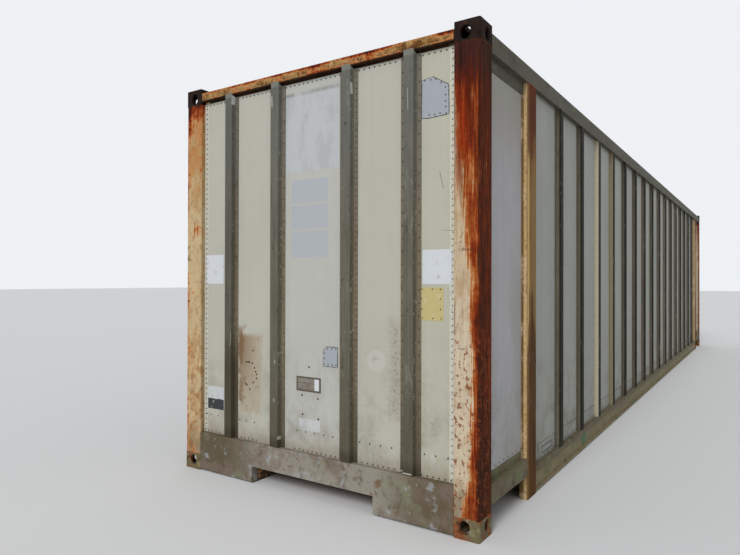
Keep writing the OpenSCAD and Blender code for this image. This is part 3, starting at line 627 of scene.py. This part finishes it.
@finish((166, 128, 78), 0.7, gloss=0.08)
def rail_paint(f):
    f.vary((7, 4, 0.55, 41), 0.16)
    f.where((122, 80, 38), (11, 5, 0.6, 44), 0.44, 0.56, 0.85)
    f.where((190, 160, 112), (17, 5, 0.65, 48), 0.53, 0.64, 0.7)
    f.where((82, 48, 24), (13, 5, 0.7, 49), 0.5, 0.6, 0.7)
    # Darker towards the lower edge: painted shade under the rail, with rust
    f.swing(f.times(f.ramp(f.z, 2.838, 2.812), -0.30))
    f.raise_by((30, 4, 0.55, 42), 0.2)
    crest = f.times(f.ramp(f.z, 2.836, 2.855), 0.30)
    under = f.times(f.ramp(f.z, 2.822, 2.808), 0.16)
    slow = f.noise(1.7, 3, 0.6, 43, (1, 2, 1))
    rusting(f, f.plus(crest, under, 0.31, f.swung(slow, 1.3)), 1.5, 0.2)
    # Near black below the lower edge: painted shade in the gap under the rail, with rust
    f.where((34, 22, 16), ragged(f, f.z, (30, 3, 0.55, 45), 0.006), 2.809, 2.804, 0.94)


@finish((40, 29, 25), 0.8, gloss=0.08)
def casting_paint(f):
    f.vary((14, 4, 0.55, 51), 0.25)
    f.where((70, 40, 28), (22, 5, 0.65, 52), 0.55, 0.68, 0.7)
    f.where((20, 16, 15), (9, 5, 0.65, 53), 0.5, 0.62, 0.7)
    # The lower ones are mossy and orange
    foot = f.ramp(f.z, 1.0, 0.9)
    f.layer((112, 102, 76), foot, 0.9)
    f.where((136, 128, 98), (15, 5, 0.65, 55), 0.52, 0.62, foot, 0.8)
    f.where((134, 72, 42), (11, 5, 0.65, 56), 0.48, 0.58, foot, 0.85)
    f.where((66, 40, 28), (19, 5, 0.65, 57), 0.55, 0.64, foot, 0.8)
    f.raise_by((60, 4, 0.6, 54), 1.0)


@finish((204, 175, 127), 0.7, gloss=0.08)
def side_post_paint(f):
    """Cream that has gone brown on the outer face, dark along the corner between them."""
    f.vary((4, 4, 0.55, 61), 0.12)
    f.vary(f.runs(62, 80, 2.0, 4, 0.6), 0.3)
    out = f.apart(f.y)
    outer = f.ramp(out, 1.2125, 1.2145)
    near = f.rest(outer)
    f.where((120, 97, 60), out, 1.1875, 1.186)
    f.where((214, 190, 158), (6, 4, 0.6, 68), 0.52, 0.66, near, 0.6)
    f.where((150, 116, 68), (70, 5, 0.7, 69, SMOOTH), 0.52, 0.62, near, 0.75)
    f.where((84, 54, 30), (4, 4, 0.6, 160), 0.46, 0.6, near, f.dots(70, 0.5, 60), 0.7)
    # Olive where sound; dark brown streaks take over near the foot and the top
    f.layer((134, 108, 66), outer)
    dark = f.steps(f.z, [(0.0, 0.86), (0.9, 0.84), (1.1, 0.66), (1.3, 0.52), (1.45, 0.4),
        (2.0, 0.42), (2.25, 0.56), (2.45, 0.74), (2.8, 0.86)])
    runs = f.plus(f.runs(67, 46, 1.5, 4, 0.6), f.swung((9, 4, 0.6, 63), 0.25))
    worn = f.ramp(f.plus(runs, dark), 0.98, 1.16)
    f.layer((84, 52, 18), outer, worn, 0.94)
    f.where((94, 40, 14), f.z, 2.25, 2.45, outer, worn, 0.8)
    f.where((126, 72, 30), f.runs(64, 30, 2.4), 0.42, 0.56, outer, f.box(0.12, z=(2.12, 2.4)), 0.8)
    f.where((46, 27, 8), f.runs(161, 70, 2.6), 0.5, 0.6, outer, worn, 0.75)
    f.where((158, 138, 132), f.runs(162, 80, 14), 0.6, 0.66, outer, f.box(0.05, z=(0.55, 0.95)),
        0.7)
    # A painted highlight: the rounded corner keeps the lighter paint of the near face, as if lit
    # along it
    corner = f.ramp(f.apart(f.x), 5.276, 5.286)
    f.where((208, 172, 114), worn, 1.2, 0.4, outer, corner, 0.85)
    f.where((112, 74, 40), ragged(f, out, f.runs(65, 30, 4, 5, 0.6), 0.01), 1.203, 1.213, near,
        0.75)
    f.where((140, 104, 62), (9, 5, 0.65, 66), 0.54, 0.66, near, 0.5)
    rusting(f, f.mixed(outer, 0.14, 0.02), 1.0, 0.5, 0.8)


@finish((142, 137, 126), 0.75, gloss=0.1)
def sill_paint(f):
    f.vary((6, 5, 0.6, 71), 0.14)
    f.where((90, 80, 62), f.y, 0.3, 0.8, 0.95)
    f.where((88, 76, 52), f.y, -0.5, -0.9, 0.9)
    f.where((128, 134, 108), (4, 5, 0.65, 76), 0.54, 0.64, 0.45)
    f.where((116, 101, 92), (5, 5, 0.65, 72), 0.45, 0.62, 0.8)
    f.where((152, 156, 158), (11, 5, 0.7, 73), 0.56, 0.66, 0.7)
    f.where((88, 78, 58), (16, 5, 0.7, 74), 0.52, 0.66, 0.6)
    f.where((104, 70, 46), (9, 5, 0.7, 75), 0.6, 0.68, 0.7)
    rusting(f, 0.12, 1.0, 0.3, 0.8)


@finish((158, 160, 160), 0.5, 0.3, gloss=0.3)
def roof_aluminium(f):
    f.vary((1.2, 4, 0.55, 81), 0.08)
    f.vary((14, 5, 0.65, 82), 0.08)
    f.where(DIRT, (3, 6, 0.65, 83), 0.5, 0.7, 0.5)
    f.where((186, 188, 186), (1.6, 5, 0.6, 85), 0.54, 0.62, 0.4)
    f.where((96, 90, 78), (1, 5, 0.65, 86, (1.5, 11, 1)), 0.56, 0.68, 0.5)
    f.where((110, 104, 92), (7, 5, 0.65, 87), 0.42, 0.6, f.ramp(f.apart(f.y), 1.12, 1.19), 0.6)
    f.raise_by((2.0, 2, 0.55, 84), 4.0)


@finish((118, 88, 60), 0.7, gloss=0.2)
def floor_wood(f):
    board = f.math("FLOOR", f.times(f.y, 1 / BOARD))
    f.vary(f.math("FRACT", f.times(f.math("SINE", f.times(board, 12.9)), 43.7)), 0.18)
    grain = f.noise(3, 6, 0.65, 91, (0.5, 24, 24))
    f.vary(grain, 0.35)
    f.where((40, 30, 22), f.beat(f.y, BOARD), 0.48, 0.49)
    f.where((70, 56, 44), (2.5, 5, 0.6, 92), 0.5, 0.7, 0.6)
    f.raise_by(grain, 0.5)


@finish((72, 58, 50), 0.8, gloss=0.2)
def underframe_steel(f):
    f.vary((8, 5, 0.55, 101), 0.2)
    rusting(f, 0.38)


@finish((88, 85, 74), 0.65, gloss=0.12)
def rail_aluminium(f):
    """The long rails: dull aluminium above, dusty and stained near the ground, with a painted
    shadow line under the bottom rails' lip.
    """
    low = f.ramp(f.z, 1.0, 0.9)
    f.layer((104, 95, 76), low)
    f.where((132, 122, 94), f.z, 0.128, 0.122, low)
    f.vary((1.1, 3, 0.55, 21), 0.16)
    f.vary((16, 5, 0.65, 22, (0.3, 1, 1)), 0.45)
    f.where((140, 136, 122), (30, 5, 0.7, 24), 0.6, 0.7, 0.5)
    f.where((52, 45, 36), (12, 5, 0.7, 25), 0.52, 0.7, 0.6)
    f.where((104, 112, 78), (6, 5, 0.65, 29), 0.52, 0.64, low, 0.6)
    green = f.box(0.012, x=(FRONT + 2.21, FRONT + 2.36), y=(RIGHT, 0), z=(0.03, 0.12),
        ragged=f.swung((24, 4, 0.7, 19), 0.06))
    f.layer((74, 116, 88), green, 0.8)
    # A dark line at the lip of the bottom rails: painted shadow in the gap under it
    f.where((36, 32, 26), f.apart(f.z, 0.127), 0.006, 0.003, 0.85)
    f.raise_by((45, 4, 0.55, 26), 0.25)


@finish((34, 34, 35), 0.6, gloss=0.3)
def seal_rubber(f):
    f.vary((12, 4, 0.55, 111), 0.3)
    f.where((92, 88, 80), (30, 5, 0.65, 112), 0.55, 0.7, 0.4)
    f.raise_by((90, 3, 0.55, 113), 0.15)


@finish((132, 128, 120), 0.5, 0.35, gloss=0.4)
def lock_steel(f):
    f.vary((10, 5, 0.65, 121), 0.2)
    rusting(f, 0.24, 1.6)


def simple(name, colour, rough, metal, gloss, tone, share, *layers):
    """A finish that the noise varies by the share, with layers over it as where() takes them."""
    f = Finish(name, colour, rough, metal)
    f.vary(tone, share)
    for layer in layers:
        f.where(*layer)
    return f.done(gloss)


@finish((190, 193, 194), 0.55, gloss=0.2)
def two_tone_square(f):
    """A plain square in two worn tones, dark below and white above."""
    worn = f.swung((40, 4, 0.7, 165), 0.03)
    f.layer((54, 58, 60), f.box(0.002, z=heights(468, 548), ragged=worn))
    f.where((166, 166, 158), (24, 5, 0.7, 166), 0.6, 0.66, 0.8)


@finish((158, 163, 170), 0.55, 0.05, gloss=0.3)
def patch_aluminium(f):
    f.vary((7, 4, 0.55, 171), 0.07)
    f.vary((60, 3, 0.55, 172), 0.05)


@finish((130, 122, 112), 0.55, 0.05, gloss=0.3)
def data_plate_metal(f):
    f.vary((20, 4, 0.55, 181), 0.2)
    f.where((92, 84, 74), (40, 4, 0.7, 182), 0.52, 0.62, 0.6)
    middle = f.spot((1152, 1338), (706, 783), 0.002)
    f.layer((74, 66, 56), f.rest(middle), 0.85)
    f.where((84, 76, 66), f.beat(f.z, 0.0385), 0.08, 0.04, middle, 0.7)


# Pieces --------------------------------------------------------------------

def keep(name, mesh, material, smooth=False):
    """Makes an object of the mesh that rides on the container."""
    mesh.materials.append(material)
    if smooth:
        mesh.polygons.foreach_set("use_smooth", [True] * len(mesh.polygons))
    piece = bpy.data.objects.new(name, mesh)
    bpy.context.collection.objects.link(piece)
    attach(piece, "root")


def studs(name, material, places, normal, rings, sides=6, smooth=True):
    """Rivets or bolts at the places: rings of radius and height, the first one sunk."""
    n = np.array(normal, float)
    a = np.cross((0, 1.0, 0) if n[2] else (0, 0, 1.0), n)
    turn = np.linspace(0, 2 * math.pi, sides, endpoint=False)
    circle = np.outer(np.cos(turn), a) + np.outer(np.sin(turn), np.cross(n, a))
    one = np.vstack([circle * r + n * h for r, h in rings])
    top = len(one) - sides
    faces = [range(sides - 1, -1, -1)]
    for low in range(0, top, sides):
        for i in range(sides):
            j = (i + 1) % sides
            faces.append((low + i, low + j, low + sides + j, low + sides + i))
    faces.append(range(top, top + sides))
    points = np.array(places, float)
    verts = (points[:, None, :] + one[None, :, :]).reshape(-1, 3)
    every = [[v + k * len(one) for v in face] for k in range(len(points)) for face in faces]
    mesh = bpy.data.meshes.new(name)
    mesh.from_pydata(verts.tolist(), [], every)
    keep(name, mesh, material, smooth)


def dome(radius, height):
    return [(radius, -0.001), (radius, height * 0.3), (radius * 0.72, height * 0.8),
        (radius * 0.3, height)]


def hexagon(radius, height):
    return [(radius, -0.001), (radius, height * 0.85), (radius * 0.86, height)]


def settled(bm, name):
    """A mesh of the bmesh, with its faces turned outwards."""
    bmesh.ops.recalc_face_normals(bm, faces=bm.faces)
    mesh = bpy.data.meshes.new(name)
    bm.to_mesh(mesh)
    bm.free()
    return mesh


def bead(name, material, lines, radius, seed, closed=False):
    """Uneven ridges of weld or sealant; each line is a face's normal and the line's points."""
    draw = np.random.default_rng(seed)
    arc = np.linspace(0, math.pi, 5)
    each = len(arc)
    verts, faces = [], []
    for normal, points in lines:
        p, n = np.array(points, float), np.array(normal, float)
        ahead = np.roll(p, -1, 0) - np.roll(p, 1, 0) if closed else np.gradient(p, axis=0)
        aside = np.cross(ahead, n)
        aside /= np.linalg.norm(aside, axis=1)[:, None]
        size = radius * (0.72 + 0.28 * draw.random(len(p)))
        first = len(verts)
        for at, out, r in zip(p, aside, size):
            verts += [tuple(at + r * (out * math.cos(a) + n * (math.sin(a) - 0.12))) for a in arc]
        for i in range(len(p) if closed else len(p) - 1):
            here, there = first + i * each, first + (i + 1) % len(p) * each
            for k in range(each):
                m = (k + 1) % each
                faces.append((here + k, there + k, there + m, here + m))
        if not closed:
            last = first + (len(p) - 1) * each
            faces += [range(first, first + each), range(last + each - 1, last - 1, -1)]
    bm = bmesh.new()
    made = [bm.verts.new(v) for v in verts]
    for face in faces:
        bm.faces.new([made[i] for i in face])
    keep(name, settled(bm, name), material, True)


def along(start, stop, pitch=0.007):
    """Even points on the straight line from start to stop."""
    a, b = np.array(start, float), np.array(stop, float)
    count = max(3, round(np.linalg.norm(b - a) / pitch))
    return [a + (b - a) * i / count for i in range(count + 1)]


def row(start, stop, pitch):
    """Even places from start to stop, as near the pitch as fits."""
    count = max(1, round((stop - start) / pitch))
    return [start + (stop - start) * i / count for i in range(count + 1)]


def rounded(low_u, low_v, high_u, high_v, r, steps=4):
    """The outline of a rectangle with round corners."""
    points = []
    for cu, cv, start in ((high_u - r, high_v - r, 0), (low_u + r, high_v - r, 90),
                          (low_u + r, low_v + r, 180), (high_u - r, low_v + r, 270)):
        for i in range(steps + 1):
            a = math.radians(start + 90 * i / steps)
            points.append((cu + r * math.cos(a), cv + r * math.sin(a)))
    return points


def on_front(u, z, out=0.0):
    """A point on the front sheet: mm from the right edge and mm above the base."""
    return (PANEL - out, RIGHT + u / 1000, z / 1000)


def front_plate(name, material, outline, thick, edge=0.0006):
    """A thin plate on the front sheet: the outline in mm from the right edge and the base."""
    bm = bmesh.new()
    base = bm.faces.new([bm.verts.new(on_front(u, z, -SUNK)) for u, z in outline])
    made = bmesh.ops.extrude_face_region(bm, geom=[base])
    moved = [v for v in made["geom"] if isinstance(v, bmesh.types.BMVert)]
    bmesh.ops.translate(bm, verts=moved, vec=(-thick - SUNK, 0, 0))
    top = [e for e in bm.edges if all(v in moved for v in e.verts)]
    bmesh.ops.bevel(bm, geom=top, offset=edge, segments=2, affect="EDGES", profile=0.5)
    keep(name, settled(bm, name), material)


def front_studs(name, material, places, rings, out=0.0):
    studs(name, material, [on_front(u, z, out) for u, z in places], (-1, 0, 0), rings, 8)


def around(outline, pitch=9):
    """The outline of a front plate as even points on the sheet."""
    points = []
    for (u0, z0), (u1, z1) in zip(outline, outline[1:] + outline[:1]):
        count = max(1, round(math.hypot(u1 - u0, z1 - z0) / pitch))
        points += [on_front(u0 + (u1 - u0) * i / count, z0 + (z1 - z0) * i / count)
            for i in range(count)]
    return points


# Dressing ------------------------------------------------------------------

bpy.context.scene.view_settings.view_transform = "Standard"
make_camera()
make_light()
make_floor()

FINISHES = {
    "casting": casting_paint, "corner_post": corner_post_paint,
    "side_post": side_post_paint, "front_top_rail": rail_paint,
    "front_sill": sill_paint, "front_panel": front_sheet_paint,
    "side_panel": side_sheet_paint, "front_wall_posts": front_post_aluminium,
    "wall_posts": side_post_aluminium, "rail": rail_aluminium,
    "roof_sheet": roof_aluminium, "floor_boards": floor_wood,
    "crossmembers": underframe_steel, "door": door_paint, "door_seals": seal_rubber,
    "lock": lock_steel,
}
SAME = {
    "front_top_rail": "header_plates rear_header", "front_sill": "rear_sill",
    "rail": "right_top_rail left_top_rail right_bottom_rail left_bottom_rail",
    "roof_sheet": "roof_bows", "crossmembers": "gooseneck_tunnel",
    "door": "right_door left_door",
    "lock": "door_hinges right_lock_rods left_lock_rods rod_guides lock_handles "
            "handle_catches cam_keepers",
}
SHARED = ("casting", "corner_post", "side_post", "wall_posts", "side_panel")

finish_of = {node: node for node in FINISHES}
finish_of.update((node, key) for key, nodes in SAME.items() for node in nodes.split())
for node, obj in NODES.items():
    key = finish_of.get(node) or next(k for k in SHARED if node.endswith(k))
    obj.data.materials.clear()
    obj.data.materials.append(FINISHES[key])

dark = simple("dark_rivet", (84, 76, 64), 0.6, 0.1, 0.3, (26, 4, 0.55, 131), 0.35)
pale = simple("pale_rivet", (150, 148, 140), 0.55, 0.2, 0.3, (26, 4, 0.55, 141), 0.25)
# Dark discs for holes: painted shade for their openings, with burnt edges round them
hole_shade_and_soot = simple("hole_shade_and_burnt_edge", (46, 42, 36), 0.8, 0.0, 0.1, (60, 3, 0.55, 145), 0.3)
sign = simple("bare_sign", (202, 206, 210), 0.5, 0.0, 0.3, (6, 4, 0.55, 151), 0.05,
    ((150, 146, 132), (18, 5, 0.7, 152), 0.58, 0.68, 0.5))
yellow = simple("yellow_sign", (188, 174, 120), 0.55, 0.0, 0.25, (9, 4, 0.55, 161), 0.08,
    ((204, 198, 170), (12, 5, 0.7, 162), 0.56, 0.66, 0.5))
weld = simple("weld_steel", (116, 70, 42), 0.8, 0.0, 0.1, (30, 4, 0.55, 191), 0.3,
    ((176, 138, 94), (18, 5, 0.65, 192), 0.52, 0.62, 0.8),
    ((54, 34, 26), (26, 5, 0.65, 193), 0.54, 0.64, 0.8))
sealant = simple("old_sealant", (74, 72, 66), 0.8, 0.0, 0.1, (50, 4, 0.55, 195), 0.35,
    ((150, 148, 138), (36, 4, 0.65, 196), 0.56, 0.64, 0.6))
bolt = simple("bolt_steel", (96, 84, 70), 0.6, 0.2, 0.2, (24, 4, 0.55, 197), 0.35,
    ((120, 66, 36), (14, 5, 0.65, 198), 0.46, 0.58, 0.8))
patch, plate = patch_aluminium, data_plate_metal

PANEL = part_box("front_panel")[0].x
SUNK = 0.0005           # how far a plate reaches into the sheet
HATS = (0.762, 0.305, -0.305, -0.762)
FLANGE_RIVET = 0.058    # from the middle of a wall post
HAT_FLANGE = 0.004      # thickness of its flange
RIVET = dome(0.0058, 0.0032)
SMALL = [(0.0055, -0.001), (0.0055, 0.0010), (0.0040, 0.0026), (0.0016, 0.0032)]
HOLE = [(0.0070, -0.001), (0.0070, 0.0002), (0.0042, 0.0005)]

# Front sheet: edge, top and foot rows, and the rows on the posts' flanges
EDGES = (185, 2253)
upright = [z * 1000 for z in row(0.31, 2.745, CLOSE)]
front_studs("front_edge_rivets", pale, [(EDGES[0], z) for z in upright], RIVET)
rows = [(EDGES[1], z) for z in upright]
rows += [(u, 2767) for u in row(*EDGES, CLOSE * 1000)
    if min(abs(u / 1000 + RIGHT - hat) for hat in HATS) > 0.074]
FOOT_ROWS = ((828, 752, 671, 591), (364, 291, 211), (1896, 1825, 1745), (2244, 2201, 2122),
    (1345, 1268, 1192, 1115, 1040))
rows += [(u, 424) for bay in FOOT_ROWS for u in bay]
rows += [(u, 299) for bay in FOOT_ROWS for u in row(min(bay) - 20, max(bay) + 20, CLOSE * 1000)]
front_studs("front_sheet_rivets", dark, rows, RIVET)
front_studs("front_post_rivets", dark, [((hat + side * FLANGE_RIVET - RIGHT) * 1000, z * 1000)
    for i, hat in enumerate(HATS) for side in (-1, 1)
    for z in row(0.31, 2.77, CLOSE if i == 2 else WIDE)], RIVET, HAT_FLANGE)

# Repairs, bare plates and small holes of the front sheet
UPPER_PATCH = [(384, 2618), (311, 2628), (211, 2567), (208, 2398), (335, 2391), (385, 2396)]
LOWER_PATCH = [(1003, 1006), (1003, 878), (1121, 878), (1121, 975), (1093, 1006)]
PATCH_RIVETS = [
    (365, 2615), (325, 2613), (293, 2612), (258, 2585), (230, 2555), (230, 2511), (230, 2474),
    (229, 2441), (226, 2403), (265, 2409), (301, 2407), (336, 2410),
    (1110, 965), (1110, 930), (1110, 892), (1078, 890), (1046, 890), (1014, 890), (1085, 994),
    (1050, 996), (1016, 996)]
YELLOW_RIVETS = [(381, 1391), (313, 1391), (260, 1391), (384, 1335), (261, 1335), (384, 1274),
    (261, 1274), (379, 1221), (310, 1221), (256, 1221)]
DATA_RIVETS = [(1147, 702), (1147, 787), (1343, 702), (1343, 787), (1245, 787)]
BURNT_RING = [(1825, 849), (1809, 852), (1795, 850), (1766, 846), (1746, 813), (1735, 786),
    (1726, 768), (1725, 741), (1759, 708), (1830, 691), (1822, 686), (1792, 656), (1762, 935)]
OLD_HOLES = [(1241, 860), (1300, 668), (1165, 656), (1296, 540), (1160, 522)]
front_plate("upper_patch", patch, UPPER_PATCH[::-1], 0.0020)
front_plate("lower_patch", patch, LOWER_PATCH, 0.0020)
front_studs("patch_rivets", dark, PATCH_RIVETS, dome(0.0050, 0.0025), 0.0020)
front_plate("right_bare_sign", sign, rounded(190, 1420, 380, 1621, 6), 0.0012)
front_plate("left_bare_sign", sign, rounded(2067, 1413, 2259, 1629, 6), 0.0012)
front_plate("yellow_plate", yellow, rounded(242, 1208, 392, 1400, 5), 0.0015)
front_studs("yellow_plate_rivets", dark, YELLOW_RIVETS, dome(0.0045, 0.0022), 0.0015)
front_plate("data_plate", plate, rounded(1140, 695, 1350, 794, 4), 0.0016)
front_plate("data_plate_strip", sign, rounded(1155, 707, 1193, 783, 2), 0.0022)
front_studs("data_plate_rivets", dark, DATA_RIVETS, dome(0.0035, 0.0018), 0.0016)
front_plate("lower_left_square", two_tone_square, rounded(2062, 470, 2232, 640, 3), 0.0006, 0.0002)
# Holes as dark discs: painted shade where the openings are, with burnt edges
front_studs("burnt_holes", hole_shade_and_soot, BURNT_RING, HOLE)
front_studs("old_fixing_holes", hole_shade_and_soot, OLD_HOLES, HOLE)
bead("patch_sealant", sealant,
    [((-1, 0, 0), around(edge)) for edge in (UPPER_PATCH, LOWER_PATCH)], 0.0034, 11, True)

# Side walls: rows on the posts' flanges, the header strips, the skirt and the foot
SIDE_SHEET = abs(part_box("right_side_panel")[0].y)
POSTS = [FIRST_POST + i * POST_PITCH for i in range(16)]
SIDE_POST = 0.867       # from the container's end to a heavy side post's middle
SIDE_FLANGE = 0.095     # from there to its rivets


def side_rows(hand):
    """The places of one side's rivets, on the sheet and on the posts' flanges."""
    flange = [(x + k * FLANGE_RIVET, hand * (SIDE_SHEET + HAT_FLANGE), z)
        for x in POSTS for k in (-1, 1) for z in row(0.20, 2.735, WIDE)]
    flange += [(middle + k * SIDE_FLANGE, hand * (SIDE_SHEET + 0.006), z)
        for middle in (FRONT + SIDE_POST, BACK - SIDE_POST)
        for k in (-1, 1) for z in row(0.30, 2.64, CLOSE)]
    mains = row(FRONT + 1.02, BACK - 1.02, CLOSE)
    sheet = [(x, hand * SIDE_SHEET, z)
        for z, places in ((2.735, mains), (0.290, mains), (0.190, mains[::2]))
        for x in places if min(abs(x - post) for post in POSTS) > 0.075]
    for a, b in ((FRONT + 0.235, FRONT + 0.745), (BACK - 0.745, BACK - 0.235)):
        flange += [(x, hand * (SIDE_SHEET + 0.003), z) for x in row(a, b, CLOSE)
            for z in (2.678, 2.736)]
        sheet += [(x, hand * SIDE_SHEET, 0.345) for x in row(a, b, WIDE)]
    sheet += [(x, hand * SIDE_SHEET, z) for x in (FRONT + 0.186, BACK - 0.186)
        for z in row(0.345, 2.64, CLOSE)]
    return sheet, flange


for hand, side in ((-1, "right"), (1, "left")):
    sheet, flange = side_rows(hand)
    studs(side + "_sheet_rivets", dark, sheet, (0, hand, 0), SMALL)
    studs(side + "_post_rivets", dark, flange, (0, hand, 0), SMALL)

# Roof: rows over each bow, and along the edges
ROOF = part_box("roof_sheet")[1].z
low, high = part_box("roof_bows")
roof_places = [(x + k * 0.035, y, ROOF) for x in row(low.x + 0.045, high.x - 0.045, POST_PITCH)
    for k in (-1, 1) for y in row(-1.15, 1.15, WIDE)]
roof_places += [(x, k * 1.185, ROOF) for k in (-1, 1) for x in row(-5.84, 5.84, WIDE)]
studs("roof_rivets", pale, roof_places, (0, 0, 1), SMALL)

# Header plates: rows over the end rails, where the plates lie 2 mm lower than on the roof
low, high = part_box("header_plates")
studs("header_plate_rivets", dark,
    [(x, y, z) for x, z in ((-5.874, high.z), (5.874, high.z),
    (low.x + 0.019, ROOF + 0.002), (high.x - 0.019, ROOF + 0.002))
    for y in row(-1.02, 1.02, WIDE)], (0, 0, 1), SMALL)

# Rear end: bolts of the straps and rod guides, rivets of the doors' trim
DOOR_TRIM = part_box("left_door")[1].x
DOOR_FACE = DOOR_TRIM - 0.003
STRAP = DOOR_TRIM + 0.005
HINGES = (0.510, 1.146, 1.782, 2.418)
GUIDES = (0.297, 1.464, 2.631)
RODS = (0.190, 0.790)
studs("strap_bolts", bolt,
    [(STRAP, k * y, z + d) for k in (-1, 1) for y in (1.022, 0.950, 0.878) for z in HINGES
    for d in (-0.019, 0.019)], (1, 0, 0), hexagon(0.0105, 0.0075), smooth=False)
studs("guide_bolts", bolt,
    [(STRAP, k * (rod + d), z + e) for k in (-1, 1) for rod in RODS for z in GUIDES
    for d in (-0.034, 0.034) for e in (-0.022, 0.022)], (1, 0, 0), hexagon(0.0075, 0.006),
    smooth=False)
upright = row(0.225, 2.703, WIDE)
trim = [(DOOR_TRIM, k * 0.036, z) for k in (-1, 1) for z in upright]
trim += [(DOOR_FACE if 0.25 < z < 2.68 else DOOR_TRIM, k * 1.015, z) for k in (-1, 1)
    for z in upright if min(abs(z - hinge) for hinge in HINGES) > 0.045]
trim += [(DOOR_TRIM, k * y, z) for k in (-1, 1) for z in (0.222, 2.706)
    for y in row(0.080, 0.970, WIDE)]
studs("door_trim_rivets", pale, trim, (1, 0, 0), SMALL)

# Welds where the end frames' posts meet the castings, the sill, the rails and each other
POST_FACE, POST_SIDE = BACK - 0.003, LEFT - 0.003
lines = []
for k in (-1, 1):
    for m in (-1, 1):
        x, y = k * POST_FACE, m * POST_SIDE
        for z in (0.118, 2.778):
            lines += [((k, 0, 0), along((x, m * 1.068, z), (x, m * 1.204, z))),
                ((0, m, 0), along((k * (BACK - 0.014), y, z), (k * (BACK - 0.166), y, z)))]
for m in (-1, 1):
    for x, y, low_z, high_z in ((FRONT + 0.0062, m * 1.0572, 0.022, 0.284),
                                (FRONT + 0.0070, m * 1.0550, 2.802, 2.854)):
        lines.append(((-1, 0, 0), along((x, y, low_z), (x, y, high_z))))
    y = m * POST_SIDE
    for k in (-1, 1):
        middle = k * (BACK - SIDE_POST)
        for a, b, low_z, high_z in ((-0.080, 0.080, 2.747, 2.747),
                                    (k * 0.083, k * 0.083, 0.164, 0.268),
                                    (-k * 0.083, -k * 0.083, 0.132, 0.174)):
            lines.append(((0, m, 0), along((middle + a, y, low_z), (middle + b, y, high_z))))
bead("frame_welds", weld, lines, 0.0026, 12)
